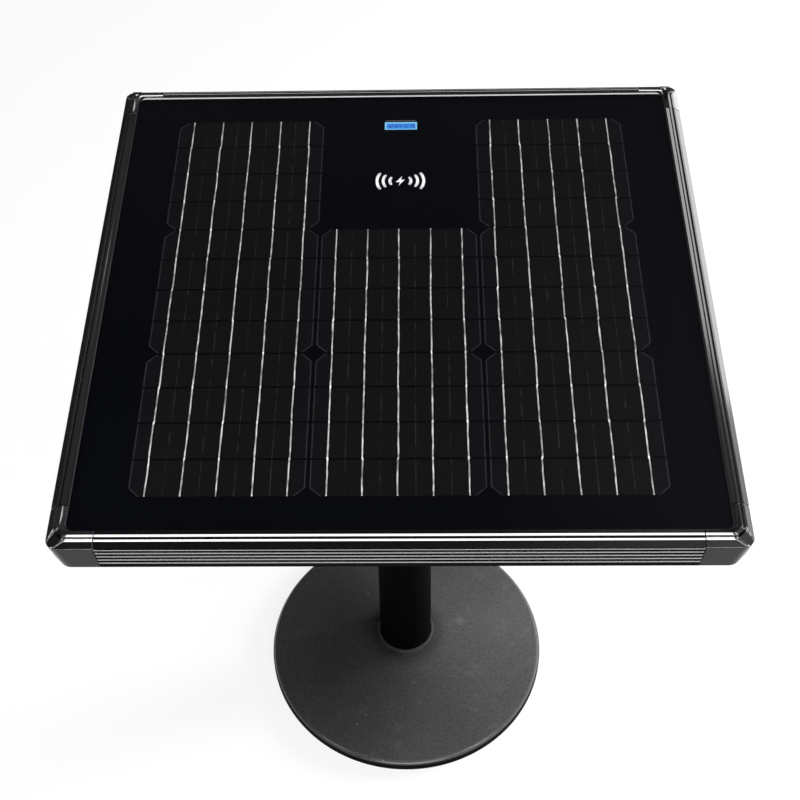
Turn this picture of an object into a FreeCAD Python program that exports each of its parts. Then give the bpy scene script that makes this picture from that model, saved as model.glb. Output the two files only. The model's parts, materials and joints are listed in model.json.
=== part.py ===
import FreeCAD, Part
import math
import os
import re

import Sketcher

# Solar charging table: a square framed glass top with solar cells, on one column and a round weighted base.
# Millimetres, +Z up. The origin is on the floor under the column, and the table's front faces -Y.

SIZES = (
    ("table_width", 600.0, "frame from left face to right face"),
    ("table_depth", 600.0, "frame from front face to rear face"),
    ("table_height", 680.0, "floor to the top of the frame"),
    ("rail_height", 33.0, "height of the frame rails"),
    ("rail_box_depth", 10.0, "hollow box of a rail, outer face to inner wall"),
    ("rail_wall", 1.6, "wall of a rail"),
    ("lip_reach", 15.0, "top lip, in from the outer face"),
    ("lip_thickness", 1.6, "thickness of the top lip"),
    ("lip_drop", 0.8, "top lip below the top of the beads"),
    ("ledge_reach", 16.0, "ledge under the glass, in from the outer face"),
    ("ledge_thickness", 1.6, "thickness of that ledge"),
    ("flange_reach", 20.0, "bottom flange, in from the outer face"),
    ("flange_thickness", 2.0, "thickness of the bottom flange"),
    ("bevel_width", 5.0, "bevel between top and side, across"),
    ("bevel_drop", 6.0, "top of the frame to the foot of the bevel"),
    ("crown_drop", 1.9, "fall of the beads from the lip out to the bevel"),
    ("bead_width", 2.3, "each of the two beads, across"),
    ("channel_width", 1.6, "channel between the beads"),
    ("channel_drop", 2.4, "top of the frame to the floor of that channel"),
    ("bead_round", 0.5, "rounding of the beads"),
    ("rib_pitch", 4.8, "ribs on the side of a rail, one to the next"),
    ("rib_height", 3.0, "height of one rib"),
    ("rib_depth", 1.5, "depth of the grooves between ribs"),
    ("rib_round", 1.25, "rounding of the ribs"),
    ("cap_leg", 42.0, "corner cap along the top of each side"),
    ("cap_skirt", 44.0, "corner cap along the bottom of each side"),
    ("cap_seam_height", 24.0, "height at which the cap's end begins to slant"),
    ("cap_chamfer", 9.5, "corner cut off the outside of a cap"),
    ("cap_inner_cut", 6.0, "corner of the cap beside the glass, filled across"),
    ("cap_inner_round", 8.0, "rounding of the cap beside the glass"),
    ("cap_tongue", 30.0, "tongue of a cap inside a rail"),
    ("cap_root", 22.0, "start of a tongue inside its cap"),
    ("joint_gap", 0.2, "clearance between caps and rails"),
    ("glass_thickness", 4.0, "tempered glass"),
    ("glass_edge_gap", 1.0, "glass edge to the rail's inner wall"),
    ("glass_round", 6.0, "corner rounding of the glass"),
    ("glass_seal_gap", 0.2, "glass to the lip above it"),
    ("film_thickness", 0.5, "each bonding film"),
    ("cell_thickness", 0.2, "solar cell"),
    ("ribbon_thickness", 0.2, "cell ribbon"),
    ("back_sheet_thickness", 0.4, "black back sheet"),
    ("tape_thickness", 1.0, "foam tape under the glass edge"),
    ("tape_width", 5.0, "foam tape, across the ledge"),
    ("cell_width", 156.0, "solar cell, left to right"),
    ("strip_depth", 39.0, "quarter strip of a cell, front to rear"),
    ("strip_gap", 2.34, "gap between strips"),
    ("column_gap", 2.39, "gap between columns of cells"),
    ("cell_corner", 8.5, "corner cut off a whole cell"),
    ("cell_shift", 2.4, "middle of the cells, behind the middle of the table"),
    ("ribbon_pitch", 31.2, "ribbons of a cell, one to the next"),
    ("ribbon_width", 1.2, "cell ribbon"),
    ("panel_thickness", 2.0, "bottom panel"),
    ("beam_width", 30.0, "cross beam, front to rear"),
    ("beam_height", 12.0, "cross beam, height"),
    ("beam_wall", 1.5, "wall of a cross beam"),
    ("beam_spacing", 190.0, "cross beams, middle to middle"),
    ("bolt_spacing", 190.0, "mounting bolts along a beam"),
    ("plate_size", 230.0, "mounting plate, each side"),
    ("plate_thickness", 5.0, "mounting plate"),
    ("plate_round", 14.0, "corner rounding of the mounting plate"),
    ("bolt_radius", 4.0, "mounting bolt"),
    ("bolt_head_radius", 7.5, "mounting bolt's head and nut, to a corner"),
    ("bolt_head_height", 5.3, "mounting bolt's head"),
    ("bolt_nut_height", 6.5, "mounting bolt's nut"),
    ("bolt_tip", 1.0, "bolt or rod beyond its nut"),
    ("hole_gap", 0.25, "clearance of a screw, bolt or rod in its hole, on the radius"),
    ("thread_gap", 0.08, "clearance of a thread, on the radius"),
    ("screw_radius", 2.0, "small screws"),
    ("screw_head_radius", 3.6, "small screws, head"),
    ("screw_head_height", 2.2, "small screws, head"),
    ("panel_screw_spread", 180.0, "outer screws of the front and rear rails, from the middle"),
    ("column_radius", 31.75, "column tube, outside"),
    ("column_wall", 2.0, "wall of the column tube"),
    ("column_seat", 34.0, "floor to the foot of the column tube"),
    ("spigot_height", 15.0, "spigots inside the two ends of the column"),
    ("spigot_gap", 0.15, "clearance of a spigot in the column, on the radius"),
    ("rod_radius", 6.0, "tie rod"),
    ("rod_nut_radius", 10.5, "tie rod nut, to a corner"),
    ("rod_nut_height", 10.0, "tie rod nut"),
    ("rod_nut_room", 3.0, "room around a tie rod nut"),
    ("base_radius", 171.0, "base cover, outside"),
    ("rim_height", 13.0, "floor to the top of the base rim"),
    ("neck_height", 46.0, "floor to the foot of the cover's neck"),
    ("neck_rise", 2.5, "height of the cover's neck"),
    ("neck_gap", 0.3, "clearance of the neck round the column, on the radius"),
    ("cover_thickness", 1.5, "sheet of the base cover"),
    ("cover_lift", 1.5, "floor to the lower edge of the cover"),
    ("rim_round", 7.0, "rounding of the base rim"),
    ("neck_round", 2.5, "rounding at the foot of the neck"),
    ("weight_gap", 0.3, "cover above the base weight"),
    ("weight_side_gap", 1.0, "cover beside the base weight"),
    ("floor_ring_height", 4.0, "rubber floor ring"),
    ("floor_ring_width", 14.0, "rubber floor ring, across"),
    ("floor_ring_inset", 4.0, "floor ring from the weight's edge"),
    ("foot_ring_gap", 8.4, "pad of a levelling foot from the floor ring"),
    ("foot_pad_radius", 12.0, "pad of a levelling foot"),
    ("foot_floor_gap", 0.6, "pad above the floor when wound in"),
    ("foot_seat_gap", 0.3, "pad below the weight when wound in"),
    ("foot_round", 0.8, "rounding of the pad"),
    ("stud_radius", 4.0, "stud of a levelling foot"),
    ("stud_length", 13.0, "stud inside the weight"),
    ("stud_room", 1.0, "room above a stud"),
    ("tray_wall", 1.5, "wall of trays and cases"),
    ("board_thickness", 1.6, "circuit boards"),
    ("board_gap", 0.5, "room round a board or insert"),
    ("screen_width", 38.0, "display screen, left to right"),
    ("screen_depth", 21.0, "display screen, front to rear"),
    ("screen_thickness", 2.0, "display screen"),
    ("screen_window_gap", 1.0, "window in the films, round the screen"),
    ("screen_from_rear", 61.7, "middle of the display from the rear face"),
    ("display_board_margin", 3.0, "display board beyond the screen, each side"),
    ("charger_from_rear", 147.6, "middle of the charging coil from the rear face"),
    ("coil_radius", 22.0, "charging coil, outside"),
    ("coil_hole", 10.5, "charging coil, inside"),
    ("coil_thickness", 1.8, "charging coil"),
    ("ferrite_size", 52.0, "ferrite under the coil, each side"),
    ("ferrite_thickness", 2.5, "ferrite under the coil"),
    ("bay_gap", 3.0, "battery and its strap from the flanges"),
    ("box_gap", 4.0, "junction box from the battery strap"),
    ("box_from_rear", 98.5, "middle of the junction box from the rear face"),
    ("box_length", 50.0, "junction box, left to right"),
    ("box_depth", 40.0, "junction box, front to rear"),
    ("box_lift", 2.8, "junction box above the panel"),
    ("controller_from_right", 150.0, "middle of the charge controller from the right face"),
    ("controller_from_rear", 100.0, "middle of the charge controller from the rear face"),
    ("controller_length", 100.0, "charge controller, left to right"),
    ("controller_depth", 70.0, "charge controller, front to rear"),
    ("controller_height", 15.5, "case of the charge controller"),
    ("ear_length", 12.0, "fixing ears of the controller and feet of the strap"),
    ("ear_width", 20.0, "fixing ears and strap, front to rear"),
    ("ear_thickness", 2.0, "fixing ears of the controller"),
    ("battery_cell_radius", 9.1, "round battery cell"),
    ("battery_cell_length", 65.0, "round battery cell"),
    ("battery_cell_gap", 0.4, "gap between battery cells"),
    ("battery_floor", 0.8, "floor of the battery tray"),
    ("battery_tray_height", 12.0, "battery tray"),
    ("battery_board_length", 60.0, "battery protection board, front to rear"),
    ("battery_board_height", 14.0, "battery protection board"),
    ("strap_thickness", 0.8, "battery strap"),
    ("strap_gap", 0.2, "battery strap above the cells"),
    ("switch_from_right", 140.0, "middle of the rocker switch from the right face"),
    ("switch_from_rear", 45.0, "middle of the rocker switch from the rear face"),
    ("switch_length", 18.8, "switch body, left to right"),
    ("switch_depth", 12.6, "switch body, front to rear"),
    ("switch_height", 16.0, "switch body above the panel's underside"),
    ("switch_cutout_gap", 0.2, "panel round the switch body"),
    ("bezel_edge", 2.4, "switch bezel beyond the body"),
    ("bezel_height", 2.0, "switch bezel below the panel"),
    ("rocker_length", 14.8, "rocker, left to right"),
    ("rocker_depth", 10.2, "rocker, front to rear"),
    ("rocker_drop", 6.1, "rocker ends below the pivot"),
    ("rocker_dip", 1.2, "hollow in the middle of the rocker"),
    ("rocker_rise", 1.5, "rocker above the pivot"),
    ("rocker_tilt", 10.0, "rocker's rest, degrees from level"),
    ("rocker_side_gap", 0.3, "rocker to the cavity at its sides"),
    ("rocker_end_gap", 1.0, "rocker to the cavity at its ends"),
    ("pivot_height", 1.5, "pivot above the panel's underside"),
    ("pivot_radius", 1.2, "pivot pin of the rocker"),
    ("pivot_reach", 0.6, "pivot pin inside each wall"),
    ("pivot_gap", 0.06, "running clearance of the pivot, on the radius"),
    ("cavity_height", 8.0, "cavity for the rocker above the panel's underside"),
    ("lead_lift", 5.0, "middle of the leads above the panel"),
    ("power_lead_radius", 2.25, "solar and battery leads"),
    ("signal_lead_radius", 1.5, "charger, display and switch leads"),
    ("clip_length", 8.0, "lead clip along the lead"),
    ("clip_wall", 2.0, "lead clip round the lead"),
    ("clip_gap", 0.2, "clearance of a lead in its clip"),
)

RIBS = 5
BEAD_EDGES = ("bevel_width", "channel_start", "bead_two", "crown_end")
INNER_CORNER = ("lip_reach + cap_inner_cut", "lip_reach")
CELL_COLUMNS = 3
CELL_ROWS = 3
STRIPS_PER_CELL = 4
RIBBONS_PER_CELL = 5
BATTERY_COLUMNS = 8
BATTERY_ROWS = 2

# Heights are above the floor, and the rest follows from the sizes.
PLACES = (
    ("frame_floor", "table_height - rail_height", "underside of the frame"),
    ("lip_under", "rail_height - lip_drop - lip_thickness", "underside of the lip, above the frame's"),
    ("glass_face", "frame_floor + lip_under - glass_seal_gap", "top of the glass"),
    ("glass_under", "glass_face - glass_thickness", "underside of the glass"),
    ("film_under", "glass_under - film_thickness", "underside of the front film"),
    ("ribbon_under", "film_under - ribbon_thickness", "underside of the ribbons"),
    ("cell_under", "ribbon_under - cell_thickness", "underside of the cells"),
    ("rear_film_under", "cell_under - film_thickness", "underside of the rear film"),
    ("sheet_under", "rear_film_under - back_sheet_thickness", "underside of the back sheet"),
    ("ledge_top", "sheet_under - tape_thickness - frame_floor", "ledge, above the frame's underside"),
    ("panel_under", "frame_floor + flange_thickness", "underside of the bottom panel"),
    ("panel_top", "panel_under + panel_thickness", "top of the bottom panel"),
    ("plate_under", "panel_under - plate_thickness", "underside of the mounting plate"),
    ("lead_height", "panel_top + lead_lift", "middle of the leads"),
    ("glass_width", "table_width - 2 * (rail_box_depth + glass_edge_gap)", "glass, left to right"),
    ("glass_depth", "table_depth - 2 * (rail_box_depth + glass_edge_gap)", "glass, front to rear"),
    ("rib_groove", "rib_pitch - rib_height", "height of a groove between ribs"),
    ("channel_start", "bevel_width + bead_width", "outer bead's inner edge"),
    ("bead_two", "channel_start + channel_width", "inner bead's outer edge"),
    ("crown_end", "bead_two + bead_width", "inner bead's inner edge"),
    ("crown_slope", "crown_drop / (crown_end - bevel_width)", "slope of the beads"),
    ("chamber_start", "rib_depth + rail_wall", "hollow of a rail, outer side"),
    ("chamber_end", "rail_box_depth - rail_wall", "hollow of a rail, inner side"),
    ("chamber_shoulder", "rail_height - bevel_drop - rail_wall / 2", "hollow of a rail, below the bevel"),
    ("chamber_top", "rail_height - lip_drop - 2 * rail_wall", "hollow of a rail, top"),
    ("screw_inset", "(rail_box_depth + flange_reach) / 2", "underside screws from the outer face"),
    ("strip_pitch", "strip_depth + strip_gap", "strips, one to the next"),
    ("column_pitch", "cell_width + column_gap", "columns of cells, one to the next"),
    ("neck_radius", "column_radius + neck_gap + cover_thickness", "neck of the cover, outside"),
    ("cone_slope", "(neck_height - rim_height) / (base_radius - neck_radius)", "rise of the base cone"),
    ("cover_drop", "cover_thickness / cos(atan(cone_slope)) + weight_gap", "weight below the cone's outside"),
    ("weight_radius", "base_radius - cover_thickness - weight_side_gap", "base weight, outside"),
    ("weight_cone_top", "neck_height - cover_drop", "weight's cone, at the neck's radius"),
    ("seat_radius", "neck_radius + (weight_cone_top - column_seat) / cone_slope", "flat top of the weight"),
    ("spigot_radius", "column_radius - column_wall - spigot_gap", "spigots inside the column"),
    ("nut_seat", "floor_ring_height + rod_nut_height + rod_nut_room", "lower tie rod nut's seat"),
    ("foot_top", "floor_ring_height - foot_seat_gap", "top of a levelling foot's pad"),
    ("ring_radius", "weight_radius - floor_ring_inset", "floor ring, outside"),
    ("foot_circle", "ring_radius - floor_ring_width - foot_ring_gap - foot_pad_radius", "feet, their circle"),
    ("foot_spread", "foot_circle / sqrt(2)", "feet, from the middle along each side"),
    ("screen_y", "table_depth / 2 - screen_from_rear", "middle of the display"),
    ("charger_y", "table_depth / 2 - charger_from_rear", "middle of the charging coil"),
    ("cell_pitch", "2 * battery_cell_radius + battery_cell_gap", "battery cells, one to the next"),
    ("cells_length", f"{BATTERY_COLUMNS} * cell_pitch", "battery cells, left to right"),
    ("cells_depth", f"{BATTERY_ROWS} * (battery_cell_length + battery_cell_gap)", "the same, front to rear"),
    ("battery_length", "cells_length + board_thickness + 2 * (board_gap + tray_wall)", "battery tray"),
    ("battery_depth", "cells_depth + 2 * tray_wall", "battery tray, front to rear"),
    ("strap_reach", "battery_length / 2 + strap_gap + strap_thickness + ear_length", "half of the strap"),
    ("battery_x", "flange_reach + bay_gap + strap_reach - table_width / 2", "middle of the battery"),
    ("battery_y", "table_depth / 2 - flange_reach - bay_gap - battery_depth / 2", "middle of the battery"),
    ("box_x", "battery_x + strap_reach + box_gap + box_length / 2", "middle of the junction box"),
    ("box_y", "table_depth / 2 - box_from_rear", "middle of the junction box"),
    ("controller_x", "table_width / 2 - controller_from_right", "middle of the charge controller"),
    ("controller_y", "table_depth / 2 - controller_from_rear", "middle of the charge controller"),
    ("switch_x", "table_width / 2 - switch_from_right", "middle of the switch"),
    ("switch_y", "table_depth / 2 - switch_from_rear", "middle of the switch"),
    ("board_under", "glass_under - screen_thickness - board_thickness", "underside of the display board"),
    ("ferrite_under", "sheet_under - coil_thickness - ferrite_thickness", "underside of the ferrite"),
    ("charger_floor", "ferrite_under - board_thickness - tray_wall", "underside of the charger tray"),
    ("charger_side", "ferrite_size + 2 * (board_gap + tray_wall)", "charger tray, each side"),
)

QUARTER_TURN = 90

X_AXIS = FreeCAD.Vector(1, 0, 0)
Y_AXIS = FreeCAD.Vector(0, 1, 0)
Z_AXIS = FreeCAD.Vector(0, 0, 1)
SAME_PLACE = 1e-3

doc = FreeCAD.newDocument("solar_charging_table")
sizes = doc.addObject("Spreadsheet::Sheet", "sizes")
places = doc.addObject("Spreadsheet::Sheet", "places")
SIZE_NAMES = {name for name, _, _ in SIZES}
PLACE_NAMES = {name for name, _, _ in PLACES}
nodes = []


def linked(text, place_sheet="places."):
    """The expression with each named size pointing at its cell."""

    def cell(word):
        name = word.group()
        if name in SIZE_NAMES:
            return "sizes." + name
        if name in PLACE_NAMES:
            return place_sheet + name
        return name

    return re.sub(r"[a-z]\w*", cell, text)


def fill(sheet, rows):
    """Writes names, contents and notes to a sheet, one row each."""
    for row, (name, content, note) in enumerate(rows, 1):
        sheet.set(f"A{row}", name)
        sheet.set(f"B{row}", content)
        sheet.set(f"C{row}", note)
        sheet.setAlias(f"B{row}", name)


def value(text):
    """What an expression comes to now."""
    return float(places.evalExpression(linked(text)))


def bind(item, path, text):
    """Ties one property to an expression of sizes."""
    item.setExpression(path, linked(text))


def place(item, x="0", y="0", z="0", axis=Z_AXIS, angle=0):
    """Puts an object at a named place, turned about an axis."""
    item.Placement = FreeCAD.Placement(FreeCAD.Vector(), FreeCAD.Rotation(axis, angle))
    for letter, text in zip("xyz", (x, y, z)):
        bind(item, f"Placement.Base.{letter}", text)


def node(item):
    """Marks an object as a sub-part with a file of its own."""
    nodes.append(item)
    return item


# Sketches and features of bodies


def new_sketch(body, name, role, lift="0"):
    """A sketch on one of the body's own planes, lifted along the plane's normal."""
    sketch = body.newObject("Sketcher::SketchObject", f"{body.Name}_{name}")
    plane = next(item for item in body.Origin.OriginFeatures if item.Role == role)
    sketch.AttachmentSupport = [(plane, "")]
    sketch.MapMode = "FlatFace"
    bind(sketch, "AttachmentOffset.Base.z", lift)
    return sketch


def outline(sketch, corners):
    """Draws a closed outline whose corners each take two sizes from the origin."""
    points = [FreeCAD.Vector(value(x), value(y), 0) for x, y in corners]
    count = len(points)
    first = sketch.GeometryCount
    sketch.addGeometry([Part.LineSegment(a, b) for a, b in zip(points, points[1:] + points[:1])])
    rules = []
    for i in range(count):
        rules.append(Sketcher.Constraint("Coincident", first + i, 2, first + (i + 1) % count, 1))
    for i, point in enumerate(points):
        rules.append(Sketcher.Constraint("DistanceX", -1, 1, first + i, 1, point.x))
        rules.append(Sketcher.Constraint("DistanceY", -1, 1, first + i, 1, point.y))
    start = sketch.ConstraintCount + count
    sketch.addConstraint(rules)
    for i, text in enumerate(text for corner in corners for text in corner):
        bind(sketch, f"Constraints[{start + i}]", text)
    return sketch


def circle(sketch, x, y, radius):
    """Draws a circle whose middle and radius are sizes."""
    middle = FreeCAD.Vector(value(x), value(y), 0)
    ring = sketch.addGeometry(Part.Circle(middle, Z_AXIS, value(radius)))
    start = sketch.ConstraintCount
    sketch.addConstraint([
        Sketcher.Constraint("DistanceX", -1, 1, ring, 3, middle.x),
        Sketcher.Constraint("DistanceY", -1, 1, ring, 3, middle.y),
        Sketcher.Constraint("Radius", ring, value(radius)),
    ])
    for i, text in enumerate((x, y, radius)):
        bind(sketch, f"Constraints[{start + i}]", text)
    return sketch


def rectangle(x, y, length, width):
    """The corners of a rectangle about a middle."""
    low_x, high_x = f"({x}) - ({length}) / 2", f"({x}) + ({length}) / 2"
    low_y, high_y = f"({y}) - ({width}) / 2", f"({y}) + ({width}) / 2"
    return [(low_x, low_y), (high_x, low_y), (high_x, high_y), (low_x, high_y)]


def pad(body, sketch, length, back=False):
    """Raises a sketch into a solid."""
    feature = body.newObject("PartDesign::Pad", sketch.Name + "_pad")
    feature.Profile = sketch
    feature.Reversed = back
    bind(feature, "Length", length)
    doc.recompute()
    return feature


def pocket(body, sketch, depth=None, back=False):
    """Cuts a sketch out of the body, to a depth or right through both ways."""
    volume = body.Shape.Volume
    feature = body.newObject("PartDesign::Pocket", sketch.Name + "_pocket")
    feature.Profile = sketch
    feature.Reversed = back
    if depth is None:
        feature.Type = "ThroughAll"
        feature.SideType = "Symmetric"
    else:
        bind(feature, "Length", depth)
    doc.recompute()
    if body.Shape.Volume >= volume:
        raise RuntimeError(f"{feature.Name} cuts nothing")
    return feature


def revolve(body, sketch):
    """Turns a sketch of radius and height about the upright axis."""
    feature = body.newObject("PartDesign::Revolution", sketch.Name + "_turned")
    feature.Profile = sketch
    feature.ReferenceAxis = (sketch, ["V_Axis"])
    doc.recompute()
    return feature


def round_edges(body, name, radius, wanted):
    """Rounds the edges that a test picks."""
    base = body.Tip
    picked = [f"Edge{i}" for i, edge in enumerate(base.Shape.Edges, 1) if wanted(edge)]
    feature = body.newObject("PartDesign::Fillet", f"{body.Name}_{name}")
    feature.Base = (base, picked)
    bind(feature, "Radius", radius)
    doc.recompute()
    return feature


def close(a, b):
    return abs(a - b) < SAME_PLACE


def middle_of(edge):
    return edge.valueAt((edge.FirstParameter + edge.LastParameter) / 2)


def straight_along(axis, spots):
    """A test for straight edges along an axis that cross its plane at one of the spots."""
    others = [i for i in range(3) if not axis[i]]
    goals = [tuple(value(text) for text in spot) for spot in spots]

    def wanted(edge):
        along = edge.Vertexes[-1].Point - edge.Vertexes[0].Point
        if along.Length < SAME_PLACE or along.cross(axis).Length > SAME_PLACE:
            return False
        point = middle_of(edge)
        return any(all(close(point[i], goal[j]) for j, i in enumerate(others)) for goal in goals)

    return wanted


def circle_at(radius, height):
    """A test for round edges of a turned piece."""
    goal_radius, goal_height = value(radius), value(height)

    def wanted(edge):
        curve = edge.Curve
        round_edge = hasattr(curve, "Radius") and close(curve.Radius, goal_radius)
        return round_edge and close(middle_of(edge).z, goal_height)

    return wanted


# Primitives and booleans


def block(name, length, width, height, x="0", y="0", z="0"):
    """A box about a middle, standing at a height."""
    box = doc.addObject("Part::Box", name)
    bind(box, "Length", length)
    bind(box, "Width", width)
    bind(box, "Height", height)
    place(box, f"({x}) - ({length}) / 2", f"({y}) - ({width}) / 2", z)
    return box


def cylinder(name, radius, length, x="0", y="0", z="0", axis=Z_AXIS, angle=0):
    """A cylinder that starts at a place and runs up, or along another way when turned."""
    rod = doc.addObject("Part::Cylinder", name)
    bind(rod, "Radius", radius)
    bind(rod, "Height", length)
    place(rod, x, y, z, axis, angle)
    return rod


def hexagon(name, radius, height, x="0", y="0", z="0"):
    """A hexagonal bar, standing at a height."""
    bar = doc.addObject("Part::Prism", name)
    bar.Polygon = 6
    bind(bar, "Circumradius", radius)
    bind(bar, "Height", height)
    place(bar, x, y, z)
    return bar


def group(name, pieces):
    """Several separate solids in one object."""
    compound = doc.addObject("Part::Compound", name)
    compound.Links = pieces
    return compound


def cut(name, base, *tools):
    """One solid less others."""
    result = doc.addObject("Part::Cut", name)
    result.Base = base
    result.Tool = tools[0] if len(tools) == 1 else group(name + "_tools", list(tools))
    return result


def fuse(name, *pieces):
    """Several solids joined into one."""
    result = doc.addObject("Part::MultiFuse", name)
    result.Shapes = list(pieces)
    return result


def tube(name, outer, inner, height, z="0", x="0", y="0"):
    """An upright ring or tube."""
    bore = cylinder(name + "_bore", inner, height, x, y, z)
    return cut(name, cylinder(name + "_bar", outer, height, x, y, z), bore)


# Frame


def crown_height(inset):
    """Height of the sloping beads at a distance from the outer face."""
    return f"rail_height - crown_slope * (crown_end - {inset})"


def rail_profile():
    """Outline of a rail: in from the outer face, and up from its underside."""
    corners = [("0", "0")]
    for rib in range(RIBS):
        upper = f"rail_height - bevel_drop - {RIBS - 1 - rib} * rib_pitch"
        lower = f"{upper} - rib_groove"
        corners += [("0", lower), ("rib_depth", lower), ("rib_depth", upper), ("0", upper)]
    channel_floor = "rail_height - channel_drop"
    lip_top = "rail_height - lip_drop"
    ledge_under = "ledge_top - ledge_thickness"
    return corners + [
        ("bevel_width", crown_height("bevel_width")),
        ("channel_start", crown_height("channel_start")),
        ("channel_start", channel_floor),
        ("bead_two", channel_floor),
        ("bead_two", crown_height("bead_two")),
        ("crown_end", "rail_height"),
        ("crown_end + lip_drop", lip_top),
        ("lip_reach", lip_top),
        ("lip_reach", "lip_under"),
        ("rail_box_depth", "lip_under"),
        ("rail_box_depth", "ledge_top"),
        ("ledge_reach", "ledge_top"),
        ("ledge_reach", ledge_under),
        ("rail_box_depth", ledge_under),
        ("rail_box_depth", "flange_thickness"),
        ("flange_reach", "flange_thickness"),
        ("flange_reach", "0"),
    ]


def rail(name, side, x, y, angle, screws):
    """A hollow rail: local X along it, Y in towards the table's middle, Z up from its underside."""
    length = f"({side} - 2 * (cap_leg + joint_gap))"
    body = doc.addObject("PartDesign::Body", name)
    profile = new_sketch(body, "profile", "YZ_Plane", f"-{length} / 2")
    corners = rail_profile()
    outline(profile, corners)
    outline(profile, [
        ("chamber_start", "rail_wall"),
        ("chamber_end", "rail_wall"),
        ("chamber_end", "chamber_top"),
        ("bevel_width", "chamber_top"),
        ("chamber_start", "chamber_shoulder"),
    ])
    pad(body, profile, length)
    beads = [(edge, crown_height(edge)) for edge in BEAD_EDGES]
    round_edges(body, "beads", "bead_round", straight_along(X_AXIS, beads))
    rib_edges = [corner for corner in corners[1 : 4 * RIBS] if corner[0] == "0"]
    round_edges(body, "ribs", "rib_round", straight_along(X_AXIS, rib_edges))
    slant = "(cap_skirt - cap_leg)"
    for end, sign in (("left", "-"), ("right", "")):
        seam = new_sketch(body, end + "_seam", "XZ_Plane")
        past_end = f"{sign}({length} / 2 + joint_gap)"
        outline(seam, [
            (past_end, "cap_seam_height"),
            (f"{sign}{length} / 2", "cap_seam_height"),
            (f"{sign}({length} / 2 - {slant})", "0"),
            (f"{sign}({length} / 2 - {slant})", "-joint_gap"),
            (past_end, "-joint_gap"),
        ])
        pocket(body, seam)
    holes = new_sketch(body, "holes", "XY_Plane")
    for spot in screws:
        circle(holes, spot, "screw_inset", "screw_radius + hole_gap")
    pocket(body, holes, "flange_thickness", back=True)
    place(body, x, y, "frame_floor", Z_AXIS, angle)
    return node(body)


def corner_loop(inset, end):
    """Outline of a cap's leg pair: the outer side follows the cut-off corner, the inner one the lip."""
    cut_off = f"({inset} + cap_chamfer)"
    return [
        (cut_off, inset),
        (end, inset),
        (end, "lip_reach"),
        INNER_CORNER,
        INNER_CORNER[::-1],
        ("lip_reach", end),
        (inset, end),
        (inset, cut_off),
    ]


def corner_band(outer, inner, end):
    """Outline of a band round a cap between two distances from the outer face."""
    near, far = corner_loop(outer, end), corner_loop(inner, end)
    return [near[0], near[1], far[1], far[0], far[-1], far[-2], near[-2], near[-1]]


def crown_cut(body, name, role, across="{}", turn=0):
    """Cuts the bevel and the slope of the beads along one outer face of a cap."""
    sketch = new_sketch(body, name, role)
    sketch.AttachmentOffset = FreeCAD.Placement(FreeCAD.Vector(), FreeCAD.Rotation(Y_AXIS, turn))
    shoulder, above = "rail_height - bevel_drop", "rail_height + joint_gap"
    corners = [
        ("-joint_gap", shoulder),
        ("0", shoulder),
        ("bevel_width", crown_height("bevel_width")),
        ("crown_end", "rail_height"),
        ("crown_end", above),
        ("-joint_gap", above),
    ]
    pocket(body, outline(sketch, [(across.format(inset), height) for inset, height in corners]))


def corner_cap(name, x, y, angle):
    """A corner cap: local X and Y run in along its two sides from the table's corner, Z up."""
    body = doc.addObject("PartDesign::Body", name)
    past_end = "(cap_skirt + cap_tongue)"
    pad(body, outline(new_sketch(body, "foot", "XY_Plane"), corner_loop("0", "cap_skirt")), "rail_height")
    crown_cut(body, "x_crown", "YZ_Plane")
    crown_cut(body, "y_crown", "XZ_Plane")
    crown_cut(body, "corner_crown", "YZ_Plane", "(cap_chamfer + 2 * ({})) / sqrt(2)", -QUARTER_TURN / 2)
    channel = new_sketch(body, "channel", "XY_Plane", "rail_height")
    pocket(body, outline(channel, corner_band("channel_start", "bead_two", past_end)), "channel_drop")
    lip = new_sketch(body, "lip", "XY_Plane", "rail_height")
    pocket(body, outline(lip, corner_band("crown_end", "lip_reach + joint_gap", past_end)), "lip_drop")
    glass_side = straight_along(Z_AXIS, [INNER_CORNER, INNER_CORNER[::-1]])
    round_edges(body, "glass_side", "cap_inner_round", glass_side)
    slot = new_sketch(body, "slot", "XY_Plane", "lip_under")
    box = "rail_box_depth"
    outline(slot, [(box, box), (past_end, box), (past_end, past_end), (box, past_end)])
    pocket(body, slot, "lip_under - flange_thickness")
    seam = [
        ("cap_leg", "rail_height + joint_gap"),
        ("cap_leg", "cap_seam_height"),
        ("cap_skirt", "0"),
        ("cap_skirt", "-joint_gap"),
        (past_end, "-joint_gap"),
        (past_end, "rail_height + joint_gap"),
    ]
    pocket(body, outline(new_sketch(body, "x_seam", "XZ_Plane"), seam))
    pocket(body, outline(new_sketch(body, "y_seam", "YZ_Plane"), seam))
    low, high = "rail_wall + joint_gap", "chamber_shoulder - joint_gap"
    near, far = "chamber_start + joint_gap", "chamber_end - joint_gap"
    section = [(near, low), (far, low), (far, high), (near, high)]
    reach = "cap_skirt + cap_tongue - cap_root"
    pad(body, outline(new_sketch(body, "x_tongue", "YZ_Plane", "cap_root"), section), reach)
    pad(body, outline(new_sketch(body, "y_tongue", "XZ_Plane", "-cap_root"), section), reach, back=True)
    place(body, x, y, "frame_floor", Z_AXIS, angle)
    return node(body)


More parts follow.
